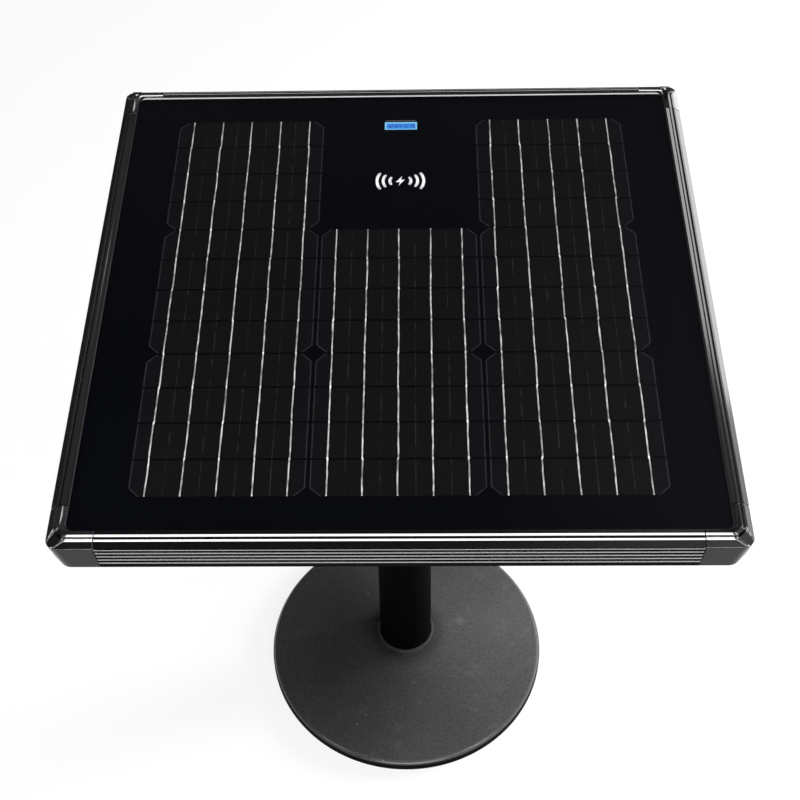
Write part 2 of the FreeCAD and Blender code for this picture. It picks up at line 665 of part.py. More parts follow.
def frame():
    """Four rails and four corner caps, each turned a quarter from the one before."""
    half_x, half_y = "table_width / 2", "table_depth / 2"
    long_screws = ("-panel_screw_spread", "0", "panel_screw_spread")
    beam_screws = ("-beam_spacing / 2", "beam_spacing / 2")
    rail("front_rail", "table_width", "0", "-" + half_y, 0, long_screws)
    rail("right_rail", "table_depth", half_x, "0", QUARTER_TURN, beam_screws)
    rail("rear_rail", "table_width", "0", half_y, 2 * QUARTER_TURN, long_screws)
    rail("left_rail", "table_depth", "-" + half_x, "0", 3 * QUARTER_TURN, beam_screws)
    corner_cap("front_left_cap", "-" + half_x, "-" + half_y, 0)
    corner_cap("front_right_cap", half_x, "-" + half_y, QUARTER_TURN)
    corner_cap("rear_right_cap", half_x, half_y, 2 * QUARTER_TURN)
    corner_cap("rear_left_cap", "-" + half_x, half_y, 3 * QUARTER_TURN)


# Glass, cells and what bonds them


def rounded_sheet(name, width, depth, thickness, radius, z):
    """A flat body about the table's middle, with rounded corners."""
    body = doc.addObject("PartDesign::Body", name)
    sheet = new_sketch(body, "outline", "XY_Plane")
    pad(body, outline(sheet, rectangle("0", "0", width, depth)), thickness)
    corners = [(f"{x}{width} / 2", f"{y}{depth} / 2") for x in ("", "-") for y in ("", "-")]
    round_edges(body, "corners", radius, straight_along(Z_AXIS, corners))
    place(body, "0", "0", z)
    return node(body)


def windowed_sheet(name, thickness, under):
    """A sheet as large as the glass, with a window for the display screen."""
    sheet = block(name + "_sheet", "glass_width", "glass_depth", thickness, z=under)
    window = ("screen_width + 2 * screen_window_gap", "screen_depth + 2 * screen_window_gap", thickness)
    node(cut(name, sheet, block(name + "_window", *window, y="screen_y", z=under)))


def cell_middle(column, row):
    """Middle of a whole cell, counted from the left and from the front."""
    x = f"{column - (CELL_COLUMNS - 1) / 2} * column_pitch"
    y = f"cell_shift + {row - (CELL_ROWS - 1) / 2} * {STRIPS_PER_CELL} * strip_pitch"
    return x, y


def has_cell(column, row):
    """The rear middle place is left free for the display and the charger."""
    return not (column == CELL_COLUMNS // 2 and row == CELL_ROWS - 1)


def cells():
    """Whole cells cut into quarter strips, with the corners of each whole cell cut off."""
    whole_depth = f"{STRIPS_PER_CELL} * strip_depth + {STRIPS_PER_CELL - 1} * strip_gap"
    diagonal = f"((cell_width + {whole_depth}) / 2 - cell_corner) * sqrt(2)"
    wafers = []
    for column in range(CELL_COLUMNS):
        for row in range(CELL_ROWS):
            if not has_cell(column, row):
                continue
            x, y = cell_middle(column, row)
            name = f"cell_{column}_{row}"
            strips = []
            for strip in range(STRIPS_PER_CELL):
                strip_y = f"{y} + {strip - (STRIPS_PER_CELL - 1) / 2} * strip_pitch"
                sides = ("cell_width", "strip_depth", "cell_thickness")
                strips.append(block(f"{name}_strip_{strip}", *sides, x, strip_y, "cell_under"))
            diamond = doc.addObject("Part::Box", name + "_diamond")
            for side in ("Length", "Width"):
                bind(diamond, side, diagonal)
            bind(diamond, "Height", "cell_thickness")
            place(diamond, x, f"{y} - {diagonal} / sqrt(2)", "cell_under", Z_AXIS, QUARTER_TURN / 2)
            wafer = doc.addObject("Part::Common", name)
            wafer.Base = group(name + "_strips", strips)
            wafer.Tool = diamond
            wafers.append(wafer)
    node(group("solar_cells", wafers))


def ribbons():
    """Silver ribbons along each column of cells, from its front cell to its rear one."""
    bars = []
    for column in range(CELL_COLUMNS):
        rows = [row for row in range(CELL_ROWS) if has_cell(column, row)]
        x, front_y = cell_middle(column, rows[0])
        _, rear_y = cell_middle(column, rows[-1])
        length = f"({len(rows) * STRIPS_PER_CELL} * strip_pitch - strip_gap)"
        for ribbon in range(RIBBONS_PER_CELL):
            ribbon_x = f"{x} + {ribbon - (RIBBONS_PER_CELL - 1) / 2} * ribbon_pitch"
            spot = (ribbon_x, f"({front_y} + {rear_y}) / 2", "ribbon_under")
            sides = ("ribbon_width", length, "ribbon_thickness")
            bars.append(block(f"ribbon_{column}_{ribbon}", *sides, *spot))
    node(group("cell_ribbons", bars))


def seat_tape():
    """Foam tape on the four ledges, under the edge of the laminate."""
    z = "frame_floor + ledge_top"
    inset = "(ledge_reach - tape_width / 2)"
    across, along = "table_width - 2 * (cap_leg + joint_gap)", "table_depth - 2 * (cap_leg + joint_gap)"
    strips = []
    for sign in ("-", ""):
        x, y = f"{sign}(table_width / 2 - {inset})", f"{sign}(table_depth / 2 - {inset})"
        side = "left" if sign else "right"
        end = "front" if sign else "rear"
        strips.append(block(f"tape_{end}", across, "tape_width", "tape_thickness", "0", y, z))
        strips.append(block(f"tape_{side}", "tape_width", along, "tape_thickness", x, "0", z))
    node(group("glass_seat_tape", strips))


def laminate():
    """The glass, and everything between it and the ledges of the frame."""
    rounded_sheet("glass_top", "glass_width", "glass_depth", "glass_thickness", "glass_round", "glass_under")
    windowed_sheet("front_film", "film_thickness", "film_under")
    cells()
    ribbons()
    windowed_sheet("rear_film", "film_thickness", "rear_film_under")
    windowed_sheet("back_sheet", "back_sheet_thickness", "sheet_under")
    seat_tape()


# Underside: panel, beams, mounting plate and their fasteners


def bolt_spots():
    return [(f"{x}bolt_spacing / 2", f"{y}beam_spacing / 2") for x in ("-", "") for y in ("-", "")]


def underside_screw_spots():
    """Screws through the flanges: three at the front and rear, and one at each end of each beam."""
    spots = []
    for sign in ("-", ""):
        x, y = f"{sign}(table_width / 2 - screw_inset)", f"{sign}(table_depth / 2 - screw_inset)"
        spots += [("-panel_screw_spread", y), ("0", y), ("panel_screw_spread", y)]
        spots += [(x, "-beam_spacing / 2"), (x, "beam_spacing / 2")]
    return spots


def inner_screw_spots():
    """Screws of the battery strap's feet and the controller's ears, with the top of what each holds."""
    strap_hole, ear_hole = "(strap_reach - ear_length / 2)", "(controller_length / 2 + ear_length / 2)"
    spots = []
    for sign in ("-", "+"):
        spots.append((f"battery_x {sign} {strap_hole}", "battery_y", "strap_thickness"))
        spots.append((f"controller_x {sign} {ear_hole}", "controller_y", "ear_thickness"))
    return spots


def bottom_panel():
    """The sheet that closes the top from below, resting on the flanges."""
    sides = ("glass_width", "glass_depth", "panel_thickness")
    body = rounded_sheet("bottom_panel", *sides, "glass_round", "panel_under")
    holes = new_sketch(body, "holes", "XY_Plane")
    circle(holes, "0", "0", "rod_nut_radius + rod_nut_room")
    for x, y in bolt_spots():
        circle(holes, x, y, "bolt_radius + hole_gap")
    for x, y in underside_screw_spots() + [spot[:2] for spot in inner_screw_spots()]:
        circle(holes, x, y, "screw_radius + hole_gap")
    cutout = ("switch_length + 2 * switch_cutout_gap", "switch_depth + 2 * switch_cutout_gap")
    outline(holes, rectangle("switch_x", "switch_y", *cutout))
    pocket(body, holes)


def beam(name, y):
    """A hollow cross beam from side rail to side rail, with holes in its lower wall."""
    body = doc.addObject("PartDesign::Body", name)
    profile = new_sketch(body, "profile", "YZ_Plane", "-glass_width / 2")
    outline(profile, rectangle("0", "beam_height / 2", "beam_width", "beam_height"))
    hollow = ("beam_width - 2 * beam_wall", "beam_height - 2 * beam_wall")
    outline(profile, rectangle("0", "beam_height / 2", *hollow))
    pad(body, profile, "glass_width")
    holes = new_sketch(body, "holes", "XY_Plane")
    for sign in ("-", ""):
        circle(holes, f"{sign}bolt_spacing / 2", "0", "bolt_radius + hole_gap")
        circle(holes, f"{sign}(table_width / 2 - screw_inset)", "0", "screw_radius + hole_gap")
    pocket(body, holes, "beam_wall", back=True)
    place(body, "0", y, "panel_top")
    node(body)


def mounting_plate():
    """The plate under the top, and the spigot welded to it that goes into the column."""
    sides = ("plate_size", "plate_size", "plate_thickness")
    body = rounded_sheet("mounting_plate", *sides, "plate_round", "plate_under")
    holes = new_sketch(body, "holes", "XY_Plane")
    circle(holes, "0", "0", "rod_radius + hole_gap")
    for x, y in bolt_spots():
        circle(holes, x, y, "bolt_radius + hole_gap")
    pocket(body, holes)
    spigot_z = "plate_under - spigot_height"
    node(tube("column_spigot", "spigot_radius", "rod_radius + hole_gap", "spigot_height", spigot_z))


def pan_screw(name, x, y, seat, length, upside_down=False):
    """A screw with a round head on its seat and a shank that runs the other way."""
    head_z = f"{seat} - screw_head_height" if upside_down else seat
    shank_z = seat if upside_down else f"{seat} - ({length})"
    head = cylinder(name + "_head", "screw_head_radius", "screw_head_height", x, y, head_z)
    return fuse(name, head, cylinder(name + "_shank", "screw_radius", length, x, y, shank_z))


def underside_fasteners():
    """Screws, bolts and nuts that hold the panel, the beams and the mounting plate together."""
    length = "flange_thickness + panel_thickness + beam_wall + bolt_tip"
    screws = [
        pan_screw(f"underside_screw_{i}", x, y, "frame_floor", length, upside_down=True)
        for i, (x, y) in enumerate(underside_screw_spots(), 1)
    ]
    node(group("underside_screws", screws))
    nut_z = "panel_top + beam_wall"
    shank = "plate_thickness + panel_thickness + beam_wall + bolt_nut_height + bolt_tip"
    bolts = []
    nuts = []
    for i, (x, y) in enumerate(bolt_spots(), 1):
        head_z = "plate_under - bolt_head_height"
        head = hexagon(f"bolt_{i}_head", "bolt_head_radius", "bolt_head_height", x, y, head_z)
        stem = cylinder(f"bolt_{i}_stem", "bolt_radius", shank, x, y, "plate_under")
        bolts.append(fuse(f"bolt_{i}", head, stem))
        bar = hexagon(f"bolt_nut_{i}_bar", "bolt_head_radius", "bolt_nut_height", x, y, nut_z)
        bore = cylinder(f"bolt_nut_{i}_bore", "bolt_radius + thread_gap", "bolt_nut_height", x, y, nut_z)
        nuts.append(cut(f"bolt_nut_{i}", bar, bore))
    node(group("mounting_bolts", bolts))
    node(group("mounting_nuts", nuts))


def underside():
    bottom_panel()
    beam("front_beam", "-beam_spacing / 2")
    beam("rear_beam", "beam_spacing / 2")
    mounting_plate()
    underside_fasteners()


# Column and base


def column():
    """The tube, and the rod that pulls the top plate and the base weight together inside it."""
    height = "plate_under - column_seat"
    node(tube("column_tube", "column_radius", "column_radius - column_wall", height, "column_seat"))
    rod_start = "(nut_seat - rod_nut_height - bolt_tip)"
    rod_end = "(panel_under + rod_nut_height + bolt_tip)"
    node(cylinder("tie_rod", "rod_radius", f"{rod_end} - {rod_start}", z=rod_start))
    nuts = []
    for i, seat in enumerate(("nut_seat - rod_nut_height", "panel_under"), 1):
        bar = hexagon(f"rod_nut_{i}_bar", "rod_nut_radius", "rod_nut_height", z=seat)
        bore = cylinder(f"rod_nut_{i}_bore", "rod_radius + thread_gap", "rod_nut_height", z=seat)
        nuts.append(cut(f"rod_nut_{i}", bar, bore))
    node(group("tie_rod_nuts", nuts))


def base_cover():
    """The thin cone with an upright rim and a short neck round the column."""
    body = doc.addObject("PartDesign::Body", "base_cover")
    neck_top = "neck_height + neck_rise"
    profile = new_sketch(body, "profile", "XZ_Plane")
    outline(profile, [
        ("0", "cover_lift"),
        ("base_radius", "cover_lift"),
        ("base_radius", "rim_height"),
        ("neck_radius", "neck_height"),
        ("neck_radius", neck_top),
        ("0", neck_top),
    ])
    revolve(body, profile)
    round_edges(body, "rim", "rim_round", circle_at("base_radius", "rim_height"))
    round_edges(body, "neck", "neck_round", circle_at("neck_radius", "neck_height"))
    solid = body.Tip
    open_heights = [value("cover_lift"), value(neck_top)]
    ends = [
        f"Face{i}" for i, face in enumerate(solid.Shape.Faces, 1)
        if any(close(face.BoundBox.ZMin, z) and close(face.BoundBox.ZMax, z) for z in open_heights)
    ]
    shell = body.newObject("PartDesign::Thickness", "base_cover_shell")
    shell.Base = (solid, ends)
    shell.Reversed = True
    bind(shell, "Value", "cover_thickness")
    doc.recompute()
    node(body)


def base_weight():
    """The cast weight: flat seat and spigot for the column, cone under the cover, holes for the feet."""
    body = doc.addObject("PartDesign::Body", "base_weight")
    spigot_top = "column_seat + spigot_height"
    rod_hole, recess = "rod_radius + hole_gap", "rod_nut_radius + rod_nut_room"
    shoulder = "(weight_radius - rim_round)"
    profile = new_sketch(body, "profile", "XZ_Plane")
    outline(profile, [
        (rod_hole, "nut_seat"),
        (recess, "nut_seat"),
        (recess, "floor_ring_height"),
        ("weight_radius", "floor_ring_height"),
        ("weight_radius", "rim_height - rim_round"),
        (shoulder, f"weight_cone_top - ({shoulder} - neck_radius) * cone_slope"),
        ("seat_radius", "column_seat"),
        ("spigot_radius", "column_seat"),
        ("spigot_radius", spigot_top),
        (rod_hole, spigot_top),
    ])
    revolve(body, profile)
    holes = new_sketch(body, "foot_holes", "XY_Plane")
    for x, y, _ in foot_spots():
        circle(holes, x, y, "stud_radius + thread_gap")
    pocket(body, holes, "foot_top + stud_length + stud_room", back=True)
    node(body)


def foot_spots():
    """Levelling feet: across, front to rear, and a name for the corner."""
    return [
        ("-foot_spread", "-foot_spread", "front_left"),
        ("foot_spread", "-foot_spread", "front_right"),
        ("foot_spread", "foot_spread", "rear_right"),
        ("-foot_spread", "foot_spread", "rear_left"),
    ]


def levelling_foot(name, x, y):
    """A pad on a threaded stud, wound all the way into the base weight."""
    body = doc.addObject("PartDesign::Body", name)
    top = "foot_top + stud_length"
    profile = new_sketch(body, "profile", "XZ_Plane")
    outline(profile, [
        ("0", "foot_floor_gap"),
        ("foot_pad_radius", "foot_floor_gap"),
        ("foot_pad_radius", "foot_top"),
        ("stud_radius", "foot_top"),
        ("stud_radius", top),
        ("0", top),
    ])
    revolve(body, profile)
    round_edges(body, "edge", "foot_round", circle_at("foot_pad_radius", "foot_floor_gap"))
    place(body, x, y)
    node(body)


def base():
    base_cover()
    base_weight()
    node(tube("floor_ring", "ring_radius", "ring_radius - floor_ring_width", "floor_ring_height"))
    for x, y, corner in foot_spots():
        levelling_foot(corner + "_foot", x, y)


# Electronics


def open_tray(name, length, width, height, wall, floor, x, y, z):
    """A rectangular tray, open at the top."""
    outside = block(name + "_outside", length, width, height, x, y, z)
    hollow = (f"{length} - 2 * {wall}", f"{width} - 2 * {wall}", f"{height} - {floor}")
    return cut(name, outside, block(name + "_hollow", *hollow, x, y, f"{z} + {floor}"))


def display():
    """Screen under the glass in the films' window, with its board in a tray below."""
    screen = ("screen_width", "screen_depth", "screen_thickness")
    node(block("display_screen", *screen, "0", "screen_y", "glass_under - screen_thickness"))
    board = ("(screen_width + 2 * display_board_margin)", "(screen_depth + 2 * display_board_margin)")
    node(block("display_board", *board, "board_thickness", "0", "screen_y", "board_under"))
    around = "2 * (board_gap + tray_wall)"
    tray = (f"({board[0]} + {around})", f"({board[1]} + {around})")
    height = "(sheet_under - board_under + tray_wall)"
    floor = "board_under - tray_wall"
    node(open_tray("display_tray", *tray, height, "tray_wall", "tray_wall", "0", "screen_y", floor))


def charger():
    """Coil under the back sheet, on its ferrite and board, in a tray."""
    coil_z = "sheet_under - coil_thickness"
    node(tube("charger_coil", "coil_radius", "coil_hole", "coil_thickness", coil_z, "0", "charger_y"))
    square = ("ferrite_size", "ferrite_size")
    node(block("charger_ferrite", *square, "ferrite_thickness", "0", "charger_y", "ferrite_under"))
    board_z = "ferrite_under - board_thickness"
    node(block("charger_board", *square, "board_thickness", "0", "charger_y", board_z))
    sides = ("charger_side", "charger_side", "(sheet_under - charger_floor)")
    spot = ("0", "charger_y", "charger_floor")
    node(open_tray("charger_tray", *sides, "tray_wall", "tray_wall", *spot))


def junction_box():
    """Box bonded to the back sheet, where the cells' wires come out."""
    floor = "(panel_top + box_lift)"
    sides = ("box_length", "box_depth", f"(sheet_under - {floor})")
    node(open_tray("junction_box", *sides, "tray_wall", "tray_wall", "box_x", "box_y", floor))


def drilled_ear(name, thickness, x, y):
    """A flat ear on the panel with a screw hole in its middle."""
    plate = block(name + "_plate", "ear_length", "ear_width", thickness, x, y, "panel_top")
    hole = cylinder(name + "_hole", "screw_radius + hole_gap", thickness, x, y, "panel_top")
    return cut(name, plate, hole)


def controller():
    """Case with two fixing ears, board and lid."""
    spot = ("controller_x", "controller_y")
    sides = ("controller_length", "controller_depth")
    walls = ("controller_height", "tray_wall", "tray_wall")
    case = open_tray("controller_tub", *sides, *walls, *spot, "panel_top")
    ears = []
    for side, sign in (("left", "-"), ("right", "+")):
        ear_x = f"controller_x {sign} (controller_length / 2 + ear_length / 2)"
        ears.append(drilled_ear(f"controller_{side}_ear", "ear_thickness", ear_x, "controller_y"))
    node(fuse("controller_case", case, *ears))
    inside = "2 * (tray_wall + board_gap)"
    board = (f"controller_length - {inside}", f"controller_depth - {inside}", "board_thickness")
    node(block("controller_board", *board, *spot, "panel_top + tray_wall"))
    node(block("controller_lid", *sides, "tray_wall", *spot, "panel_top + controller_height"))


def battery():
    """Round cells in two rows in a tray, with the protection board beside them and a strap over the top."""
    spot = ("battery_x", "battery_y")
    tray_floor = "(panel_top + battery_floor)"
    walls = ("battery_tray_height", "tray_wall", "battery_floor")
    node(open_tray("battery_tray", "battery_length", "battery_depth", *walls, *spot, "panel_top"))
    cell_z = f"{tray_floor} + battery_cell_gap / 4 + battery_cell_radius"
    rods = []
    for column in range(BATTERY_COLUMNS):
        x = f"battery_x - battery_length / 2 + tray_wall + {column + 0.5} * cell_pitch"
        for row in range(BATTERY_ROWS):
            step = f"{row - BATTERY_ROWS / 2} * (battery_cell_length + battery_cell_gap)"
            start = (x, f"battery_y + {step} + battery_cell_gap / 2", cell_z)
            name = f"battery_cell_{column}_{row}"
            round_cell = ("battery_cell_radius", "battery_cell_length")
            rods.append(cylinder(name, *round_cell, *start, X_AXIS, -QUARTER_TURN))
    node(group("battery_cells", rods))
    board_x = "battery_x + battery_length / 2 - tray_wall - board_gap - board_thickness / 2"
    board = ("board_thickness", "battery_board_length", "battery_board_height")
    node(block("battery_board", *board, board_x, "battery_y", tray_floor))
    top = f"({cell_z} + battery_cell_radius + strap_gap)"
    bar_length = "2 * (strap_reach - ear_length)"
    pieces = [block("strap_bar", bar_length, "ear_width", "strap_thickness", *spot, top)]
    for side, sign in (("left", "-"), ("right", "+")):
        leg_x = f"battery_x {sign} (strap_reach - ear_length - strap_thickness / 2)"
        foot_x = f"battery_x {sign} (strap_reach - ear_length / 2)"
        leg = ("strap_thickness", "ear_width", f"{top} - panel_top")
        pieces.append(block(f"strap_{side}_leg", *leg, leg_x, "battery_y", "panel_top"))
        pieces.append(drilled_ear(f"strap_{side}_foot", "strap_thickness", foot_x, "battery_y"))
    node(fuse("battery_strap", *pieces))


def inner_screws():
    """Screws that hold the battery strap and the controller to the bottom panel."""
    screws = []
    for i, (x, y, thickness) in enumerate(inner_screw_spots(), 1):
        seat = f"panel_top + {thickness}"
        screws.append(pan_screw(f"inner_screw_{i}", x, y, seat, f"{thickness} + panel_thickness"))
    node(group("inner_screws", screws))


def switch():
    """Rocker switch in the bottom panel, facing down, with one end of the rocker pressed in."""
    spot = ("switch_x", "switch_y")
    bezel_sides = ("switch_length + 2 * bezel_edge", "switch_depth + 2 * bezel_edge")
    bezel = block("switch_bezel", *bezel_sides, "bezel_height", *spot, "panel_under - bezel_height")
    shell = block("switch_shell", "switch_length", "switch_depth", "switch_height", *spot, "panel_under")
    cavity_width = "(rocker_depth + 2 * rocker_side_gap)"
    cavity_sides = ("rocker_length + 2 * rocker_end_gap", cavity_width, "bezel_height + cavity_height")
    cavity = block("switch_cavity", *cavity_sides, *spot, "panel_under - bezel_height")
    pin_length = f"({cavity_width} + 2 * pivot_reach)"
    pivot = ("switch_x", f"switch_y - {pin_length} / 2", "panel_under + pivot_height")
    bore = cylinder("switch_bore", "pivot_radius + pivot_gap", pin_length, *pivot, X_AXIS, -QUARTER_TURN)
    node(cut("switch_housing", fuse("switch_outside", bezel, shell), cavity, bore))
    body = doc.addObject("PartDesign::Body", "switch_rocker")
    end = "rocker_length / 2"
    profile = new_sketch(body, "profile", "XZ_Plane", "-rocker_depth / 2")
    outline(profile, [
        ("-" + end, "-rocker_drop"),
        ("0", "rocker_dip - rocker_drop"),
        (end, "-rocker_drop"),
        (end, "rocker_rise"),
        ("-" + end, "rocker_rise"),
    ])
    pad(body, profile, "rocker_depth")
    free_pin = f"({pin_length} - 2 * pivot_gap)"
    pin = circle(new_sketch(body, "pin", "XZ_Plane", f"-{free_pin} / 2"), "0", "0", "pivot_radius")
    pad(body, pin, free_pin)
    place(body, *spot, "panel_under + pivot_height", Y_AXIS, value("rocker_tilt"))
    bind(body, "Placement.Rotation.Angle", "rocker_tilt")
    node(body)


# Leads


def rounded_path(points):
    """Straight runs joined by tangent arcs, each as large as its two runs leave room for."""
    edges = []
    start = points[0]
    last = len(points) - 2
    for i in range(1, len(points) - 1):
        corner = points[i]
        back, ahead = points[i - 1] - corner, points[i + 1] - corner
        room = [back.Length * (0.9 if i == 1 else 0.45), ahead.Length * (0.9 if i == last else 0.45)]
        reach = min(room)
        back.normalize()
        ahead.normalize()
        half_turn = (math.pi - back.getAngle(ahead)) / 2
        radius = reach / math.tan(half_turn)
        inward = (back + ahead).normalize()
        middle = corner + inward * (radius / math.cos(half_turn) - radius)
        arc_start, arc_end = corner + back * reach, corner + ahead * reach
        edges.append(Part.LineSegment(start, arc_start).toShape())
        edges.append(Part.Arc(arc_start, middle, arc_end).toShape())
        start = arc_end
    edges.append(Part.LineSegment(start, points[-1]).toShape())
    return Part.Wire(edges)


def lead(name, radius, corners):
    """A round lead from one housing to another."""
    points = [FreeCAD.Vector(*(value(text) for text in corner)) for corner in corners]
    path = rounded_path(points)
    section = Part.Wire(Part.Circle(points[0], points[1] - points[0], value(radius)).toShape())
    feature = doc.addObject("Part::Feature", name)
    feature.Shape = path.makePipeShell([section], True, False)
    expected = math.pi * value(radius) ** 2 * path.Length
    if abs(feature.Shape.Volume / expected - 1) > 0.01:
        raise RuntimeError(f"{name} isn't one clean tube")
    return node(feature)


def clip(name, radius, x, y, along_x):
    """A saddle on the panel with a hole that the lead runs through."""
    bore = f"{radius} + clip_gap"
    across = f"2 * ({bore} + clip_wall)"
    sides = ("clip_length", across) if along_x else (across, "clip_length")
    saddle = block(name + "_saddle", *sides, f"lead_lift + {bore} + clip_wall", x, y, "panel_top")
    if along_x:
        start, turn = (f"{x} - clip_length / 2", y, "lead_height"), (Y_AXIS, QUARTER_TURN)
    else:
        start, turn = (x, f"{y} - clip_length / 2", "lead_height"), (X_AXIS, -QUARTER_TURN)
    return cut(name, saddle, cylinder(name + "_hole", bore, "clip_length", *start, *turn))


def leads():
    """Leads between the housings, and the clips that hold them above the panel."""
    z = "lead_height"
    power, signal = "power_lead_radius", "signal_lead_radius"
    controller_left = "controller_x - controller_length / 2"
    controller_rear = "controller_y + controller_depth / 2"
    solar_y, battery_lead_y = "box_y + box_depth / 5", "controller_y + 0.4 * controller_depth"
    charger_lead_y = "controller_y - controller_depth / 3"
    screen_lead_y = "screen_y + screen_depth / 4"
    battery_right = "battery_x + battery_length / 2"
    lead("solar_lead", power, [("box_x + box_length / 2", solar_y, z), (controller_left, solar_y, z)])
    lead("battery_lead", power, [(battery_right, battery_lead_y, z), (controller_left, battery_lead_y, z)])
    riser_x = "charger_side / 4"
    lead("charger_lead", signal, [
        (controller_left, charger_lead_y, z),
        (riser_x, charger_lead_y, z),
        (riser_x, charger_lead_y, "charger_floor"),
    ])
    screen_x, bend_x = "screen_width / 4", "controller_x - controller_length / 4"
    lead("display_lead", signal, [
        (bend_x, controller_rear, z),
        (bend_x, screen_lead_y, z),
        (screen_x, screen_lead_y, z),
        (screen_x, screen_lead_y, "board_under - tray_wall"),
    ])
    lead("switch_lead", signal, [
        ("switch_x", controller_rear, z),
        ("switch_x", "switch_y - switch_depth / 2", z),
    ])
    middle_x = f"({controller_left}) / 2"
    switch_middle = f"({controller_rear} + switch_y - switch_depth / 2) / 2"
    node(group("lead_clips", [
        clip("solar_clip", power, middle_x, solar_y, True),
        clip("battery_clip", power, "0", battery_lead_y, True),
        clip("charger_clip", signal, f"({controller_left} + {riser_x}) / 2", charger_lead_y, True),
        clip("display_clip", signal, f"({bend_x} + {screen_x}) / 2", screen_lead_y, True),
        clip("switch_clip", signal, "switch_x", switch_middle, False),
    ]))


def check():
    """Stops before anything is written if an object failed or a sub-part isn't a sound solid."""
    for item in doc.Objects:
        if {"Invalid", "Error"} & set(item.State):
            raise RuntimeError(f"{item.Name} failed: {item.State}")
    for item in nodes:
        if item.Shape.isNull() or not item.Shape.isValid() or not item.Shape.Solids:
            raise RuntimeError(f"{item.Label} has no sound solid")


def write():
    """One file for each sub-part, named for its label."""
    os.makedirs("parts", exist_ok=True)
    for item in nodes:
        item.Shape.exportStep(f"parts/{item.Label}.step")
    print(f"{len(nodes)} sub-parts written")


fill(sizes, [(name, str(size), note) for name, size, note in SIZES])
fill(places, [(name, "=" + linked(text, ""), note) for name, text, note in PLACES])
doc.recompute()
frame()
laminate()
underside()
column()
base()
display()
charger()
junction_box()
controller()
battery()
inner_screws()
switch()
leads()
doc.recompute()
check()
write()
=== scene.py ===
"""The look of the solar charging table: glass, cells, display, finishes, studio and camera."""
import json
import math

import bmesh
import bpy
from bpy.props import FloatProperty, FloatVectorProperty, IntProperty, PointerProperty, StringProperty
from mathutils import Matrix, Vector, noise


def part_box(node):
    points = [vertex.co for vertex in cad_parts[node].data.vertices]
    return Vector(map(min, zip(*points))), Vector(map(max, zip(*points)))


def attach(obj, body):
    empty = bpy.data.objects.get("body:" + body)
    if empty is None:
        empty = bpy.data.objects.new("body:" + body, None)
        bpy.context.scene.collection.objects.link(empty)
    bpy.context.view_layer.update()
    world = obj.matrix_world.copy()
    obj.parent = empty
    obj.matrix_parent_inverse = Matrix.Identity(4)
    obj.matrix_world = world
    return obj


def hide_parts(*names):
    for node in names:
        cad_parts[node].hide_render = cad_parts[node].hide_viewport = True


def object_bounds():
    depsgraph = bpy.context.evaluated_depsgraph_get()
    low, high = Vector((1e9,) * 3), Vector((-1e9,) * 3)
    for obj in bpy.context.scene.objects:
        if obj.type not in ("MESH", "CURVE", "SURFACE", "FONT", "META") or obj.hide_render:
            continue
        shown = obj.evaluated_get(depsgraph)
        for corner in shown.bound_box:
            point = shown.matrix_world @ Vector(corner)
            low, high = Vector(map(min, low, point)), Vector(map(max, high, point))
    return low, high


bl_info = {
    "name": "Solar Charging Table",
    "version": (1, 0, 0),
    "blender": (4, 5, 0),
    "location": "View3D > Sidebar > Table",
    "description": "Dresses the solar charging table and sets up its studio",
    "category": "Object",
}

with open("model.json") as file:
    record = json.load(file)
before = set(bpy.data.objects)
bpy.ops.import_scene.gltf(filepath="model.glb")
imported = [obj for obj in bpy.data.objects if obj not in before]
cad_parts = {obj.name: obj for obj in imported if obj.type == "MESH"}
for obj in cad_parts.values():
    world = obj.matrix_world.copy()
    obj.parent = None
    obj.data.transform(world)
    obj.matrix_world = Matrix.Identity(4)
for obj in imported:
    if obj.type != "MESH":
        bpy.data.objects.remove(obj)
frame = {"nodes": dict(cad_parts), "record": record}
CAD_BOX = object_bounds()
REACH = CAD_BOX[1][0]  # middle of the table to its outer faces
NODES = frame["nodes"]
SLOT_OF = {part["node"]: part["material_slot"] for part in frame["record"]["subparts"]}

RIBBONS = 5
SEGMENTS = {
    "0": "abcdef", "1": "bc", "2": "abdeg", "3": "abcdg", "4": "bcfg",
    "5": "acdfg", "6": "acdefg", "7": "abc", "8": "abcdefg", "9": "abcdfg",
}
# Fine lengths in metres. Points nearer than NEAR are one point
NEAR = 0.00002
# Seal: its foot above the glass, and its thin inner edge
SEAL_LIFT, SEAL_LIP = 0.00002, 0.00012
# Ribbon: its shaped points, and how far a joint's swell and waist reach
RIBBON_STEP, JOINT_SWELL, JOINT_WAIST = 0.0018, 0.0014, 0.0036
# Display: its rim, the lit face in it, the printed mask over it, and a pale line at its rear
BEZEL_DROP, BEZEL_RIM, BEZEL_RECESS = 0.0001, 0.0008, 0.0006
LIGHT_DROP, LIGHT_SHEET, LIGHT_LAP = 0.00045, 0.0002, 0.0005
MASK_REACH, MASK_DROP, INK_SHEET = 0.0025, 0.00003, 0.00008
EDGE_INSET, EDGE_GAP, EDGE_WIDTH, EDGE_SHEET, EDGE_ROUND = 0.001, 0.0018, 0.0009, 0.00002, 0.0003
# Side rails: edges of the lip from the outer face, and the slope of its crown
LIP_INNER, LIP_OUTER, LIP_CROWN = 0.0149, 0.0112, 0.3
# Cap: height of its tip, its facet's lift and slope, and how deep the beads at its corner lie
CAP_TIP, FACET_LIFT, FACET_SLOPE, CORNER_DEPTH = 0.674, 0.0002, math.radians(22), 0.012
# Ridges of a cap: depth from one side of the corner, depth from the other, height
RIDGE_STARTS = ((0.0168, 0.0062, 0.6787), (0.0178, 0.0101, 0.6799))
RIDGE_END = (0.0068, 0.0008, 0.6746)
